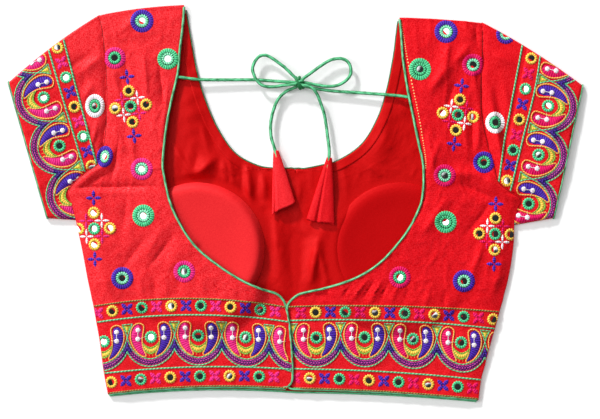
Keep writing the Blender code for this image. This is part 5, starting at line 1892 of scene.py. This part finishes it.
def set_up_studio():
    scene = bpy.context.scene
    camera = bpy.data.cameras.new("camera")
    camera.sensor_width = 36
    camera.lens = 36 * CAMERA_DISTANCE / (PICTURE_WIDTH * MM)
    holder = bpy.data.objects.new("camera", camera)
    holder.location = (VIEW_CENTRE[0] * MM, VIEW_CENTRE[1] * MM, CAMERA_DISTANCE + 0.005)
    scene.collection.objects.link(holder)
    scene.camera = holder

    floor = bpy.data.meshes.new("floor")
    corners = [(x * FLOOR_REACH, y * FLOOR_REACH, FLOOR_Z) for x, y in ((-1, -1), (1, -1), (1, 1), (-1, 1))]
    floor.from_pydata(corners, [], [(0, 1, 2, 3)])
    floor.materials.append(finish("floor_white", (0.9, 0.9, 0.9, 1), 0.9, Emission_Color=(1, 1, 1, 1),
                                  Emission_Strength=0.13))
    ground = bpy.data.objects.new("floor", floor)
    scene.collection.objects.link(ground)

    for name, way, elevation, strength, spread in SUNS:
        sun = bpy.data.lights.new(name, "SUN")
        sun.energy = strength
        sun.angle = math.radians(spread)
        lamp = bpy.data.objects.new(name, sun)
        fall = math.hypot(*way) * math.tan(math.radians(elevation))
        lamp.rotation_euler = Vector((*way, -fall)).to_track_quat("-Z", "Y").to_euler()
        scene.collection.objects.link(lamp)

    world = bpy.data.worlds.new("studio")
    world.use_nodes = True
    light = Nodes(world)
    way = light.coordinates("Generated")
    height = light.parts(way)[2]
    towards = light.node("VectorMath", {0: way, 1: SOFT_FROM}, operation="DOT_PRODUCT").outputs["Value"]
    side = light.scaled(light.sharpen(towards, -0.5, 1), WALL_LIGHT[1] - WALL_LIGHT[0], WALL_LIGHT[0])
    above = light.scaled(light.sharpen(towards, 0, 0.62), CEILING_LIGHT[1] - CEILING_LIGHT[0],
                         CEILING_LIGHT[0])
    ceiling = light.sharpen(height, *edge_between(*CEILING_EDGE))
    both = light.scaled(ceiling, light.calculate("SUBTRACT", above, side), side)
    opening = light.sharpen(height, *edge_between(*OPENING_EDGE))
    background = light.tree.nodes["Background"].inputs
    background["Color"].default_value = (1, 1, 1, 1)
    light.tree.links.new(light.times(both, light.scaled(opening, -0.98, 1)), background["Strength"])
    scene.world = world
    scene.view_settings.view_transform = "Standard"


PICTURE_WIDTH = 600          # millimetres across the view
CAMERA_DISTANCE = 2          # metres above the cloth
FLOOR_REACH = 3              # metres from its middle to its edges
FLOOR_Z = -0.0002            # just under the cloth, in metres
VIEW_CENTRE = (4, -4.5)      # what the camera is above
# The lamps: the way that shadows fall, degrees above the surface, strength and width in degrees.
SUNS = (("key", (7.5, -12.5), 23, 3.1, 6), ("side", (10, -2), 34, 1.3, 34))
SOFT_FROM = (-0.72, 0.60, 0.35)  # where most of the soft light comes from
WALL_LIGHT = (0.06, 0.55)        # on the far side and on that side
CEILING_LIGHT = (0.45, 1.7)      # the same for the ceiling
CEILING_EDGE = (36, 28)          # degrees from the zenith where the ceiling begins and is full
OPENING_EDGE = (15, 12.5)        # and the same for its dark opening, above the camera


# Each cloth's cut: the width and length it was cut to, in metres, and its area.
CUTS = {
    "front": ((0.452, 0.392), 0.1246),
    "back_left": ((0.221, 0.388), 0.0428),
    "back_right": ((0.235, 0.381), 0.0449),
    "hem_border_left": ((0.196, 0.095), 0.0163),
    "hem_border_right": ((0.214, 0.094), 0.0171),
    "sleeve_left": ((0.40, 0.115), 0.0240),
    "sleeve_right": ((0.40, 0.115), 0.0256),
    "sleeve_border_left": ((0.175, 0.066), 0.0084),
    "sleeve_border_right": ((0.175, 0.066), 0.0084),
    "front_neck_facing": ((0.42, 0.01), 0.0036),
    "back_placket": ((0.020, 0.084), 0.00168),
}


def declare_cloth(node, piece):
    """Looks up what a piece of laid cloth was cut to; nothing is done with it."""
    flat, area = CUTS[node]


def main():
    set_up_studio()
    front = make_front()
    declare_cloth("front", front)
    declare_cloth("front_neck_facing", make_front_neck())
    for cup in CUPS:
        make_cup(cup)
    declare_cloth("back_placket", make_placket())
    for name, rows, side, sleeve in (("left", LEFT_ROWS, -1, LEFT_SLEEVE),
                                     ("right", RIGHT_ROWS, 1, RIGHT_SLEEVE)):
        panel, strip, threads, top = make_back(name, rows, side)
        declare_cloth("back_" + name, panel)
        declare_cloth("hem_border_" + name, strip)
        cloth, border, piping, threads = make_sleeve(name, sleeve, top)
        declare_cloth("sleeve_" + name, cloth)
        declare_cloth("sleeve_border_" + name, border)
    make_neck_piping("left", LEFT_ROWS, -1, LAST - 0.56)
    make_neck_piping("right", RIGHT_ROWS, 1, RIGHT_CORNER + 0.62)
    make_hem_piping("left", LEFT_ROWS, -1)
    make_hem_piping("right", RIGHT_ROWS, 1)
    make_front_hem_piping()
    knot = make_knot()
    tassels = [make_tassel(tassel) for tassel in TASSELS]
    for name, exit_index, far_end, tied in (
            ("dori_run_left", 0, "knot", knot), ("dori_run_right", -1, "knot", knot),
            ("dori_loop_left", 0, "knot", knot), ("dori_loop_right", 0, "knot", knot),
            ("dori_tail_left", 0, "fitting", tassels[0]), ("dori_tail_right", 0, "fitting", tassels[1])):
        make_dori(name, exit_index, far_end)


main()
